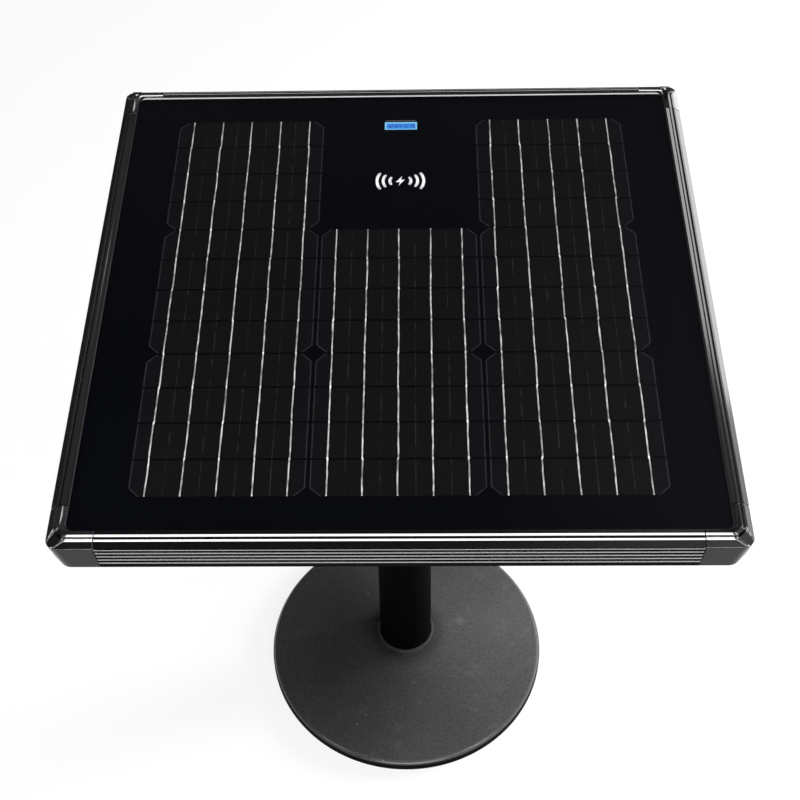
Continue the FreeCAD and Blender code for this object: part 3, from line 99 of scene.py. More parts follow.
# Charging mark: its drop below the glass, half the angle of an arc, and the bolt in millimetres
MARK_DROP = 0.00012
ARC_SPREAD = math.radians(29)
BOLT = ((1.9, 7.0), (-4.8, -1.9), (-0.5, -1.7), (-1.9, -7.0), (4.8, 1.9), (0.5, 1.7))
# Base cover to the column, and the studio floor's half size and its drop below the table
COVER_GAP, FLOOR_SIZE, FLOOR_DROP = 0.0003, 40.0, 0.0003
# Name, place, aim, width, height, watts, and whether it shows in mirrors
LAMPS = (
    ("overhead_softbox", (0.0, -0.55, 2.9), (0.0, -0.55, 0.68), 2.1, 1.2, 58.0, True),
    ("right_softbox", (1.64, 1.575, 1.15), (0.3, 0.05, 0.68), 1.1, 1.5, 8.5, True),
    ("front_softbox", (0.1, -2.4, 1.35), (0.0, -0.3, 0.6), 1.9, 0.8, 27.0, True),
    ("base_light", (1.82, 0.6, 0.56), (0.1, 0.0, 0.03), 0.5, 0.5, 112.0, False),
    ("left_corner_light", (-1.73, -1.34, 1.95), (-0.29, -0.29, 0.68), 0.7, 0.7, 6.0, True),
    ("right_corner_light", (1.68, -1.37, 1.98), (0.29, -0.29, 0.68), 0.7, 0.7, 11.0, True),
)


def box_of(node):
    """Lowest and highest corner of a CAD node."""
    low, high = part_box(node)
    return Vector(low), Vector(high)


GLASS_LOW, GLASS_HIGH = box_of("glass_top")
SCREEN_LOW, SCREEN_HIGH = box_of("display_screen")
COIL_LOW, COIL_HIGH = box_of("charger_coil")
RIBBON_LOW, RIBBON_HIGH = box_of("cell_ribbons")
COVER_LOW, COVER_HIGH = box_of("base_cover")
TUBE_LOW, TUBE_HIGH = box_of("column_tube")


def length(name, default, description):
    """A size in metres."""
    return FloatProperty(name=name, default=default, description=description, unit="LENGTH", precision=5)


def colour(name, default, description):
    """A colour in linear light."""
    return FloatVectorProperty(
        name=name, default=default, description=description, subtype="COLOR", min=0, max=1
    )


class TableSizes(bpy.types.PropertyGroup):
    """Sizes of the pieces made here."""

    pane_corner: length("Pane corner", 0.006, "Corner rounding of the glass")
    pane_edge: length("Pane edge", 0.0006, "Ground edge of the glass")
    seal_inset: length("Seal inset", 0.0151, "Outer edge of the seal from the frame's outer face")
    seal_width: length("Seal width", 0.0013, "Seal on the glass beside the frame")
    seal_height: length("Seal height", 0.0009, "Seal against the frame")
    seal_corner: length("Seal corner", 0.0085, "Corner rounding of the seal")
    column_pitch: length("Column pitch", 0.15839, "Columns of cells, one to the next")
    row_pitch: length("Row pitch", 0.16536, "Whole cells, front to rear, one to the next")
    cell_shift: length("Cell shift", 0.0024, "Middle of the cells behind the middle of the table")
    cell_half_width: length("Half cell width", 0.078, "Half of a cell, left to right")
    cell_half_depth: length("Half cell depth", 0.08151, "Half of a whole cell, front to rear")
    cell_corner: length("Cell corner", 0.0085, "Corner cut off a whole cell")
    strip_pitch: length("Strip pitch", 0.04134, "Strips of a cell, one to the next")
    ribbon_pitch: length("Ribbon pitch", 0.0312, "Ribbons of a cell, one to the next")
    ribbon_width: length("Ribbon width", 0.00125, "Ribbon on the cells")
    ribbon_waver: length("Ribbon waver", 0.00034, "How far a ribbon strays sideways")
    screen_width: length("Screen width", 0.0345, "Lit part of the display, left to right")
    screen_depth: length("Screen depth", 0.0122, "Lit part of the display, front to rear")
    screen_shift: length("Screen shift", 0.0014, "Lit part from the middle of the display")
    screen_rise: length("Screen rise", 0.0022, "Lit part behind the middle of the display")
    screen_corner: length("Screen corner", 0.0018, "Corner rounding of the lit part")
    digit_height: length("Digit height", 0.0042, "Figures on the display")
    mark_shift: length("Mark shift", 0.001, "Charging mark from the middle of the table")
    mark_rise: length("Mark rise", 0.0018, "Charging mark behind the middle of the coil")
    mark_stroke: length("Mark stroke", 0.003, "Lines of the charging mark")
    mark_gap: length("Mark gap", 0.0016, "Middle of the arcs from the middle of the mark")
    mark_inner: length("Mark inner", 0.0093, "Radius of the inner arcs")
    mark_middle: length("Mark middle", 0.0162, "Radius of the middle arcs")
    mark_outer: length("Mark outer", 0.0226, "Radius of the outer arcs")
    rim_height: length("Rim height", 0.013, "Floor to the top of the base rim")
    rim_round: length("Rim rounding", 0.0055, "Rounding of the base rim, along its sides")
    neck_height: length("Neck height", 0.046, "Floor to the foot of the neck")
    neck_round: length("Neck rounding", 0.002, "Rounding at the foot of the neck, along its sides")
    neck_edge: length("Neck edge", 0.0009, "Rounding of the top edge of the neck")
    cap_leg: length("Cap leg", 0.042, "Corner cap along the top of each side")
    cap_skirt: length("Cap skirt", 0.044, "Corner cap along the bottom of each side")
    cap_seam: length("Cap seam", 0.024, "Height at which the end of a cap begins to slant")
    seam_gap: length("Seam gap", 0.0006, "Extra gap that shows between a cap and a rail")
    cap_cut: length("Cap cut", 0.0095, "Corner cut off the plain cap, along its sides")
    cap_top: length("Cap top cut", 0.006, "Corner cut at the tip of a cap, along its sides")
    cap_foot: length("Cap foot cut", 0.0145, "Corner cut at the foot of a cap, along its sides")
    cap_bead: length("Cap bead cut", 0.006, "Corner cut of the beads of a cap, along its sides")
    cap_round: length("Cap rounding", 0.0045, "Rounding of the upright corner edges of a cap")
    ridge_width: length("Ridge width", 0.0015, "Ridges that run from the beads to the tip of a cap")
    cover_sheet: length("Cover sheet", 0.0015, "Sheet of the base cover")
    tube_wall: length("Tube wall", 0.002, "Wall of the column")
    turned_steps: IntProperty(
        name="Turned steps", default=256, description="Sides of a turned piece", min=32
    )
    figures: StringProperty(name="Figures", default="12.64 3.15", description="Figures on the display")


class TableColours(bpy.types.PropertyGroup):
    """Colours of the finishes."""

    rail_black: colour("Rail", (0.002, 0.002, 0.0022), "Black anodised rail")
    cap_black: colour("Cap", (0.006, 0.006, 0.007), "Gloss black corner cap")
    sheet_navy: colour("Sheet", (0.0017, 0.002, 0.0034), "Dark sheet behind the cells")
    cell_grey: colour("Cell", (0.0046, 0.0046, 0.0047), "Solar cell")
    ribbon_silver: colour("Ribbon", (0.88, 0.87, 0.84), "Tinned ribbon")
    base_grey: colour("Base", (0.046, 0.046, 0.046), "Powder coated base")
    column_black: colour("Column", (0.0018, 0.0018, 0.0019), "Powder coated column")
    screen_blue: colour("Screen", (0.035, 0.25, 0.74), "Lit display")
    figure_blue: colour("Figures", (0.03, 0.02, 0.25), "Figures on the display")
    mark_white: colour("Mark", (0.96, 0.96, 0.96), "Printed charging mark")
    floor_white: colour("Floor", (0.86, 0.86, 0.86), "Studio floor")


def math_node(operation, swapped=False):
    """A method of a value that adds a Math node."""
    def method(self, *others):
        terms = (*others, self) if swapped else (self, *others)
        return self.finish.node("ShaderNodeMath", dict(enumerate(terms)), operation=operation)
    return method


class Value:
    """A number on a surface. Arithmetic on it adds Math nodes to its finish."""

    def __init__(self, finish, socket):
        self.finish = finish
        self.socket = socket

    def __getitem__(self, name):
        """Another output of the same node."""
        return Value(self.finish, self.socket.node.outputs[name])

    __add__ = __radd__ = math_node("ADD")
    __sub__ = math_node("SUBTRACT")
    __rsub__ = math_node("SUBTRACT", swapped=True)
    __mul__ = __rmul__ = math_node("MULTIPLY")
    __truediv__ = math_node("DIVIDE")
    __pow__ = math_node("POWER")
    __abs__ = math_node("ABSOLUTE")
    __round__ = math_node("ROUND")
    least = math_node("MINIMUM")
    most = math_node("MAXIMUM")
    sine = math_node("SINE")

    def wrapped(self, pitch):
        """Distance from the nearest of a row of lines at a pitch."""
        return self - round(self / pitch) * pitch

    def step(self, start, end, low=0.0, high=1.0):
        """A smooth change from low to high between two values."""
        sockets = {"Value": self, "From Min": start, "From Max": end, "To Min": low, "To Max": high}
        return self.finish.node("ShaderNodeMapRange", sockets, clamp=True, interpolation_type="SMOOTHSTEP")


class Finish:
    """A material, or the world, whose nodes are added one call at a time."""

    def __init__(self, name, world=None):
        self.material = world or bpy.data.materials.new(name)
        self.material.use_nodes = True
        self.tree = self.material.node_tree
        self.tree.nodes.clear()

    def node(self, kind, sockets=None, output=0, **settings):
        """Adds a node: its type, what its sockets get, the output that is wanted, and its settings."""
        made = self.tree.nodes.new(kind)
        for name, setting in settings.items():
            setattr(made, name, setting)
        for name, given in (sockets or {}).items():
            if isinstance(given, Value):
                self.tree.links.new(given.socket, made.inputs[name])
            else:
                made.inputs[name].default_value = given
        return Value(self, made.outputs[output]) if made.outputs else made

    def place(self):
        """Where a point is, in metres."""
        return self.node("ShaderNodeTexCoord", output="Object")

    def axes(self):
        """The same, as its three numbers."""
        split = self.node("ShaderNodeSeparateXYZ", {"Vector": self.place()})
        return split["X"], split["Y"], split["Z"]

    def facing_up(self):
        """How far a face looks up: 1 for a level top, 0 for an upright side."""
        facing = self.node("ShaderNodeTexCoord", output="Normal")
        return self.node("ShaderNodeSeparateXYZ", {"Vector": facing}, "Z")

    def grain(self, size, detail=2.0, stretch=(1, 1, 1), shift=(0, 0, 0)):
        """Cloudy noise with features of about a size, in metres."""
        scale = [1 / (size * side) for side in stretch]
        place = self.node("ShaderNodeMapping", {"Vector": self.place(), "Scale": scale, "Location": shift})
        return self.node("ShaderNodeTexNoise", {"Vector": place, "Scale": 1.0, "Detail": detail})

    def dots(self, size):
        """Distance from scattered points about a size apart."""
        return self.node("ShaderNodeTexVoronoi", {"Vector": self.place(), "Scale": 1 / size}, "Distance")

    def seen(self):
        """1 for what the camera sees, also in a mirror or through glass, and 0 for light on the table."""
        ray = self.node("ShaderNodeLightPath")
        return ray["Is Camera Ray"].most(ray["Is Glossy Ray"]).most(ray["Is Transmission Ray"])

    def mix(self, amount, first, second):
        """A colour between two colours."""
        sides = [side if isinstance(side, Value) else (*side, 1.0) for side in (first, second)]
        return self.node("ShaderNodeMix", {0: amount, 6: sides[0], 7: sides[1]}, 2, data_type="RGBA")

    def shades(self, amount, base, darker, lighter):
        """A colour that wanders between a darker and a lighter shade of a base."""
        return self.mix(amount, [part * darker for part in base], [part * lighter for part in base])

    def bump(self, height, distance, strength=1.0, edge=0.0):
        """Small relief, over edges that are softened by a radius."""
        sockets = {"Height": height, "Distance": distance, "Strength": strength}
        if edge:
            sockets["Normal"] = self.node("ShaderNodeBevel", {"Radius": edge}, samples=6)
        return self.node("ShaderNodeBump", sockets)

    def shader(self, base, rough, normal=None, coat=(), **constants):
        """The finish with a Principled surface. The constants are its own sockets."""
        sockets = {"Base Color": base, "Roughness": rough}
        sockets.update(zip(("Coat Weight", "Coat Roughness", "Coat IOR", "Coat Normal"), coat))
        sockets.update({name.replace("_", " "): given for name, given in constants.items()})
        if normal:
            sockets["Normal"] = normal
        return self.done(self.node("ShaderNodeBsdfPrincipled", sockets))

    def done(self, surface, kind="ShaderNodeOutputMaterial"):
        """Puts a surface on the finish."""
        self.node(kind, {"Surface": surface})
        return self.material


def rail_finish(name, stretch, crowned=None):
    """Black anodised extrusion: matte sides with drawn lines, polished where a face looks up."""
    finish = Finish(name)
    drawn = finish.grain(0.0006, 3.0, stretch)
    blasted = finish.grain(0.00025, 1.0)
    cloud = finish.grain(0.11, 3.0)
    base = finish.shades(drawn * 0.5 + cloud * 0.5, colours().rail_black, 0.6, 1.5)
    rough = 0.42 + drawn * 0.1 + cloud * 0.08
    polished = finish.facing_up().step(0.12, 0.45)
    relief = (drawn * 0.6 + blasted * 0.4) * 1.2e-6
    if crowned:
        inner, outer = crowned
        relief = relief - abs(finish.axes()[0]).most(inner).least(outer) * LIP_CROWN
    normal = finish.bump(relief, 1.0)
    return finish.shader(base, rough, normal, (polished, 0.1, 2.5, normal), IOR=1.08)


def cap_finish(name):
    """Moulded gloss plastic: faint sink waves, hairline scuffs and softened edges."""
    finish = Finish(name)
    waves = finish.grain(0.014, 2.0)
    scuffs = finish.grain(0.0016, 5.0, (1, 6, 3)).step(0.62, 0.76)
    cloud = finish.grain(0.03, 3.0)
    base = finish.shades(cloud, colours().cap_black, 0.7, 1.5)
    rough = 0.16 + cloud * 0.06 + scuffs * 0.1
    normal = finish.bump(waves + scuffs * 0.02, 0.0001, 0.12, 0.0006)
    polished = finish.facing_up().step(0.3, 0.6)
    return finish.shader(base, rough, normal, (polished, 0.08, 2.5, normal), IOR=1.36)


def powder_coat(name, base, rough, size, depth, mirror=1.45):
    """Powder coat: an even fine orange peel with slight clouding."""
    finish = Finish(name)
    peel = finish.grain(size, 2.0)
    fine = finish.grain(size * 0.3, 1.0)
    cloud = finish.grain(0.06, 4.0)
    shade = finish.shades(cloud * 0.65 + fine * 0.35, base, 0.78, 1.22)
    roughness = rough + cloud * 0.1 + fine * 0.08
    normal = finish.bump(peel * 0.7 + fine * 0.3, depth, 0.5)
    return finish.shader(shade, roughness, normal, IOR=mirror)


def base_coat(name):
    """Coarser powder coat of the base: mottled, with a few pale specks and rubbed scuffs, and painted
    shade low on the rim and round the neck.
    """
    finish = Finish(name)
    mottle = finish.grain(0.0022, 3.0)
    fine = finish.grain(0.0012, 1.0, shift=(3, 7, 1))
    cloud = finish.grain(0.07, 4.0)
    specks = finish.dots(0.016).step(0.03, 0.05, 1.0, 0.0)
    specks = specks * finish.grain(0.03, 1.0, shift=(2, 5, 0)).step(0.52, 0.62)
    scuffs = finish.grain(0.004, 3.0, (6, 0.5, 1), (4, 1, 0)).step(0.6, 0.75)
    scuffs = scuffs * finish.grain(0.05, 2.0).step(0.55, 0.7)
    grit = (mottle * 0.5 + fine * 0.5 - 0.5) * 2.4 + 0.5
    smudge = finish.grain(0.022, 3.0, shift=(1, 3, 0)).step(0.58, 0.78)
    shade = finish.shades(cloud * 0.25 + grit * 0.75, colours().base_grey, 0.4, 1.6)
    shade = finish.mix((specks * 0.7 + scuffs * 0.1 + smudge * 0.06).least(1.0), shade, (0.32, 0.32, 0.32))
    height = finish.axes()[2]
    rim, neck = sizes().rim_height, sizes().neck_height
    # Painted shade: the lower part of the rim's upright face is painted near black
    shade = finish.mix(height.step(rim - 0.004, rim - 0.0016), (0.003, 0.003, 0.003), shade)
    # Painted shade: the cover is darkened round the foot of the neck, where the column shades it
    shade = finish.mix(height.step(neck - 0.006, neck) * 0.55, shade, (0.008, 0.008, 0.008))
    rough = 0.42 + mottle * 0.1 + cloud * 0.08
    normal = finish.bump(mottle * 0.6 + fine * 0.4, 0.00008, 0.3)
    facing = finish.facing_up()
    rubbed = facing.step(0.5, 0.62) * facing.step(0.87, 0.95, 1.0, 0.22)
    rubbed = rubbed * height.step(rim + 0.01, neck, 1.0, 0.35)
    return finish.shader(shade, rough, normal, (rubbed, 0.26, 1.7, normal), IOR=1.06)


def seal_finish(name):
    """Cured silicone seal: smooth and shiny, with a slightly uneven tooled face."""
    finish = Finish(name)
    tooled = finish.grain(0.011, 2.0)
    cloud = finish.grain(0.04, 3.0)
    base = finish.shades(cloud, (0.012, 0.012, 0.0125), 0.7, 1.3)
    normal = finish.bump(tooled, 0.0002, 0.25)
    return finish.shader(base, 0.16 + cloud * 0.1, normal, IOR=1.9)


def moulded(name, base, rough, size=0.0006):
    """Plain moulded or rubber surface with a spark-eroded texture."""
    finish = Finish(name)
    texture = finish.grain(size, 2.0)
    cloud = finish.grain(0.02, 3.0)
    shade = finish.shades(cloud * 0.6 + texture * 0.4, base, 0.75, 1.25)
    normal = finish.bump(texture, 0.00004, 0.5)
    return finish.shader(shade, rough + cloud * 0.12, normal)


def plated(name, base, rough, stretch=(1, 1, 1)):
    """Bright plated or bare metal with fine working marks and dull patches."""
    finish = Finish(name)
    marks = finish.grain(0.0005, 3.0, stretch)
    patches = finish.grain(0.008, 4.0)
    shade = finish.shades(patches * 0.5 + marks * 0.5, base, 0.72, 1.2)
    normal = finish.bump(marks, 0.00003, 0.4)
    return finish.shader(shade, rough + patches * 0.22, normal, Metallic=1.0)


def glass_finish(name):
    """Clear polished glass that mirrors more at a glancing angle."""
    finish = Finish(name)
    smear = finish.grain(0.05, 3.0).step(0.45, 0.8)
    clear = finish.node("ShaderNodeBsdfTransparent", {"Color": (0.98, 0.98, 0.985, 1.0)})
    mirror = finish.node("ShaderNodeBsdfGlossy", {"Roughness": 0.015 + smear * 0.02})
    inside = finish.node("ShaderNodeNewGeometry", output="Backfacing")
    amount = finish.node("ShaderNodeFresnel", {"IOR": 1.38}) * (1.0 - inside)
    return finish.done(finish.node("ShaderNodeMixShader", {0: amount, 1: clear, 2: mirror}))


def cell_finish(name):
    """Solar cells: fine cross lines, faint lines between ribbons, a pale line inside each outline and a
    painted shadow beside each ribbon.
    """
    finish = Finish(name)
    size = sizes()
    x, y, _ = finish.axes()
    across = x.wrapped(size.column_pitch)
    along = (y - size.cell_shift).wrapped(size.row_pitch)
    from_side = size.cell_half_width - abs(across)
    slant = size.cell_half_width + size.cell_half_depth - size.cell_corner
    from_corner = (slant - abs(across) - abs(along)) * math.sqrt(0.5)
    from_edge = from_side.least(from_corner)
    outline = abs(from_edge - 0.0012).step(0.00025, 0.0006, 1.0, 0.0)
    border = from_edge.step(0.0002, 0.0016, 0.4, 1.0)
    from_ribbon = across.wrapped(size.ribbon_pitch)
    middle_line = abs(abs(from_ribbon) - size.ribbon_pitch / 2).step(0.0002, 0.0006, 1.0, 0.0)
    # Painted shadow: a thin band on the cell to one side of each ribbon
    beside = abs(from_ribbon - 0.0014).step(0.0003, 0.0008, 1.0, 0.0)
    outside = abs(across).step(2 * size.ribbon_pitch, 2 * size.ribbon_pitch + 0.0015)
    fingers = abs(along.wrapped(0.0016)).step(0.00006, 0.0002, 1.0, 0.0)
    wafer = finish.grain(0.12, 2.0, (1, 1.6, 1))
    grit = finish.grain(0.0016, 3.0, (1, 6, 1))
    base = finish.shades(wafer * 0.6 + grit * 0.4, colours().cell_grey, 0.62, 1.38)
    base = finish.mix(outside * 0.7, base, (0.0036, 0.004, 0.0052))
    # The painted shadow beside each ribbon darkens the cell's colour there
    base = finish.mix(beside * 0.75, base, (0.0012, 0.0012, 0.0013))
    lines = outline * 0.05 + middle_line * grit.step(0.4, 0.62) * 0.04 + fingers * 0.008
    base = finish.mix(lines, base, (0.55, 0.55, 0.56))
    base = finish.mix(border, (0.0016, 0.0017, 0.0021), base)
    normal = finish.bump(grit + fingers * 0.4, 0.00001, 0.3)
    return finish.shader(base, 0.42 + grit * 0.14, normal, Specular_IOR_Level=0.03)


def sheet_finish(name):
    """Dark sheet behind the cells: smooth, with a faint pressed weave."""
    finish = Finish(name)
    x, y, _ = finish.axes()
    weave = (x * 2400.0).sine() * (y * 2400.0).sine()
    cloud = finish.grain(0.09, 3.0)
    base = finish.shades(cloud * 0.8 + weave * 0.1, colours().sheet_navy, 0.75, 1.3)
    normal = finish.bump(weave, 0.00001, 0.2)
    return finish.shader(base, 0.45 + cloud * 0.1, normal, Specular_IOR_Level=0.02)


def ribbon_finish(name):
    """Tinned ribbon: uneven solder, dull along its run and bright at its joints."""
    finish = Finish(name)
    size = sizes()
    _, y, _ = finish.axes()
    solder = finish.grain(0.0016, 3.0, (1, 2.0, 1))
    dull = finish.grain(0.009, 3.0, (1, 1.4, 1)).step(0.3, 0.68)
    joint = abs((y - size.cell_shift).wrapped(size.strip_pitch)).step(0.001, 0.0024, 1.0, 0.0)
    amount = (solder * 0.35 + dull * 0.55 + joint * 0.35).least(1.0)
    base = finish.shades(amount, colours().ribbon_silver, 0.1, 1.12)
    normal = finish.bump(solder, 0.0003, 0.6)
    return finish.shader(base, 0.42 + dull * 0.2, normal, Metallic=0.3)


def screen_finish(name):
    """Lit display: brighter round its rim, with a fine dot grid."""
    finish = Finish(name)
    x, y, _ = finish.axes()
    low, high = lit_area()
    middle, half = (low + high) / 2, (high - low) / 2
    from_rim = (half.x - abs(x - middle.x)).least(half.y - abs(y - middle.y))
    glow = from_rim.step(0.0006, 0.003, 1.0, 0.0)
    dots = ((x * 9000.0).sine() * (y * 9000.0).sine()).step(-0.4, 0.6)
    blue = colours().screen_blue
    light = finish.mix(glow, blue, (0.3, 0.72, 0.95))
    light = finish.mix(dots * 0.12, light, [part * 0.6 for part in blue])
    unlit = (*[part * 0.2 for part in blue], 1.0)
    return finish.shader(unlit, 0.3, Emission_Color=light, Emission_Strength=0.85)


def ink_finish(name, base, glow=0.0):
    """Printed or displayed marks with slightly uneven cover."""
    finish = Finish(name)
    cover = finish.grain(0.0011, 2.0)
    shade = finish.shades(cover, base, 0.9, 1.08)
    if not glow:
        return finish.shader(shade, 0.5 + cover * 0.1)
    return finish.shader(shade, 0.5, Emission_Color=shade, Emission_Strength=glow)


def board_finish(name):
    """Circuit board: green mask over copper tracks, with pads."""
    finish = Finish(name)
    x, y, _ = finish.axes()
    turns = finish.grain(0.004, 0.0)
    tracks = abs((x + turns * 0.006).wrapped(0.0026)).step(0.0002, 0.0004, 1.0, 0.0)
    crossing = abs((y + turns * 0.005).wrapped(0.0034)).step(0.0002, 0.0004, 1.0, 0.0)
    pads = finish.dots(0.0045).step(0.12, 0.16, 1.0, 0.0)
    base = finish.mix(tracks.most(crossing) * 0.5, (0.012, 0.075, 0.03), (0.05, 0.2, 0.07))
    base = finish.mix(pads, base, (0.62, 0.6, 0.52))
    return finish.shader(base, 0.35 + pads * 0.1, finish.bump(tracks.most(pads), 0.00005, 0.5))


def coil_finish(name):
    """Wound wire: turns about the coil's middle."""
    finish = Finish(name)
    x, y, _ = finish.axes()
    middle = (COIL_LOW + COIL_HIGH) / 2
    reach = ((x - middle.x) ** 2.0 + (y - middle.y) ** 2.0) ** 0.5
    turns = (reach * (2 * math.pi / 0.0011)).sine() * 0.5 + 0.5
    strands = finish.grain(0.0003, 2.0)
    base = finish.mix(turns * 0.8 + strands * 0.2, (0.2, 0.08, 0.03), (0.8, 0.42, 0.22))
    return finish.shader(base, 0.3 + strands * 0.1, finish.bump(turns, 0.0003, 0.8), Metallic=1.0)


def sleeve_finish(name):
    """Shrink sleeve on the battery cells: ends gathered paler, faint wrinkles along it."""
    finish = Finish(name)
    _, y, _ = finish.axes()
    wrinkles = finish.grain(0.0012, 2.0, (1, 8, 1))
    bands = abs(y.wrapped(0.0654)).step(0.001, 0.004, 1.0, 0.0)
    base = finish.shades(wrinkles, (0.03, 0.13, 0.26), 0.7, 1.3)
    base = finish.mix(bands * 0.5, base, (0.3, 0.34, 0.38))
    return finish.shader(base, 0.25 + wrinkles * 0.2, finish.bump(wrinkles, 0.0001, 0.4))


def lit_area():
    """Corners of the lit part of the display."""
    size = sizes()
    middle = (SCREEN_LOW + SCREEN_HIGH) / 2 + Vector((size.screen_shift, size.screen_rise, 0))
    half = Vector((size.screen_width, size.screen_depth, 0)) / 2
    return middle - half, middle + half


def sizes():
    """The sizes as they are set."""
    return bpy.context.scene.solar_table_sizes


def colours():
    """The colours as they are set."""
    return bpy.context.scene.solar_table_colours


def paint(material, *nodes):
    """Gives CAD nodes a finish."""
    for node in nodes:
        for holder in NODES[node].material_slots:
            holder.material = material


def in_slot(slot):
    """The CAD nodes that take their finish from a slot."""
    return [node for node, its_slot in SLOT_OF.items() if its_slot == slot]


def dress(slot, finish, *settings):
    """Gives the CAD nodes of a slot a finish with the slot's name."""
    paint(finish(slot, *settings), *in_slot(slot))


def block(low, high):
    """A box between two corners."""
    made = bmesh.new()
    low, high = Vector(low), Vector(high)
    bmesh.ops.create_cube(made, size=1, matrix=Matrix.LocRotScale((low + high) / 2, None, high - low))
    return made


def moved(made, move):
    """Moves a shape by a matrix."""
    bmesh.ops.transform(made, matrix=move, verts=made.verts)


def soften(made, edges, radius, segments=2):
    """Rounds some edges."""
    bmesh.ops.bevel(
        made, geom=edges, offset=radius, segments=segments, profile=0.5, affect="EDGES", material=-1,
        clamp_overlap=True,
    )


def round_corners(made, verts, reach):
    """Rounds some corners of a flat shape."""
    bmesh.ops.bevel(
        made, geom=verts, offset=reach, segments=10, profile=0.5, affect="VERTICES", material=-1
    )


def span(edge, axis):
    """How far an edge reaches along an axis."""
    first, second = edge.verts
    return abs(first.co[axis] - second.co[axis])


def uprights(made, wanted=True):
    """The upright edges of a shape, or all the others."""
    return [edge for edge in made.edges if (span(edge, 2) > edge.calc_length() * 0.9) == wanted]


def lifted(made, faces):
    """Extrudes faces, and gives the new points."""
    grown = bmesh.ops.extrude_face_region(made, geom=faces, use_keep_orig=True)["geom"]
    return [item for item in grown if isinstance(item, bmesh.types.BMVert)]


def turned(corners, rounded, steps):
    """A closed profile of radius and height, some corners rounded, turned about the upright axis."""
    made = bmesh.new()
    verts = [made.verts.new((radius, 0, height)) for radius, height in corners]
    made.faces.new(verts)
    for index, reach in rounded:
        round_corners(made, [verts[index]], reach)
    bmesh.ops.delete(made, geom=made.faces[:], context="FACES_ONLY")
    profile = made.verts[:] + made.edges[:]
    bmesh.ops.spin(
        made, geom=profile, cent=(0, 0, 0), axis=(0, 0, 1), angle=2 * math.pi, steps=steps, use_merge=True
    )
    bmesh.ops.remove_doubles(made, verts=made.verts, dist=1e-6)
    return made


def placed(name, data):
    """An object in the scene."""
    item = bpy.data.objects.new(name, data)
    bpy.context.collection.objects.link(item)
    return item


def added(name, made, material):
    """An object of a shape."""
    if not made.faces:
        raise RuntimeError(f"{name} has no faces")
    mesh = bpy.data.meshes.new(name)
    made.to_mesh(mesh)
    made.free()
    mesh.materials.append(material)
    return placed(name, mesh)


def piece(name, made, material, replaces=(), sharp=35):
    """Makes a piece of the table of a shape."""
    bmesh.ops.recalc_face_normals(made, faces=made.faces)
    item = added(name, made, material)
    item.data.shade_smooth()
    item.data.set_sharp_from_angle(angle=math.radians(sharp))
    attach(item, "table")
    if replaces:
        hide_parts(*replaces)


def merged(shapes):
    """Several shapes as one."""
    whole = bmesh.new()
    for made in shapes:
        mesh = bpy.data.meshes.new("shape")
        made.to_mesh(mesh)
        made.free()
        whole.from_mesh(mesh)
        bpy.data.meshes.remove(mesh)
    return whole


class MakeGlass(bpy.types.Operator):
    """Clear pane over the cells, and the seal between it and the frame"""

    bl_idname = "solar_table.glass"
    bl_label = "Glass and seal"

    def execute(self, context):
        size = sizes()
        pane = block(GLASS_LOW, GLASS_HIGH)
        soften(pane, uprights(pane), size.pane_corner, 8)
        soften(pane, uprights(pane, wanted=False), size.pane_edge, 2)
        clear = glass_finish("polished_glass")
        piece("glass_pane", pane, clear, replaces=("glass_top", "front_film"), sharp=12)
        self.seal()
        return {"FINISHED"}

    def seal(self):
        """A ring of seal on the glass, high beside the frame and thin at its inner edge."""
        size = sizes()
        made = bmesh.new()
        half = REACH - size.seal_inset
        rise = Matrix.Translation((0, 0, GLASS_HIGH.z + SEAL_LIFT))
        bmesh.ops.create_grid(made, x_segments=1, y_segments=1, size=half, matrix=rise)
        round_corners(made, made.verts[:], size.seal_corner)
        middle = made.faces[:]
        ring = bmesh.ops.inset_region(
            made, faces=middle, thickness=size.seal_width, use_boundary=True, use_even_offset=True
        )["faces"]
        bmesh.ops.delete(made, geom=middle, context="FACES")
        corner = half - size.seal_corner
        for vert in lifted(made, ring):
            reach = math.hypot(*(max(abs(part) - corner, 0) for part in vert.co.xy))
            outer = reach > size.seal_corner - size.seal_width / 2
            vert.co.z += size.seal_height if outer else SEAL_LIP
        piece("glass_seal", made, seal_finish("seal_black"), sharp=20)


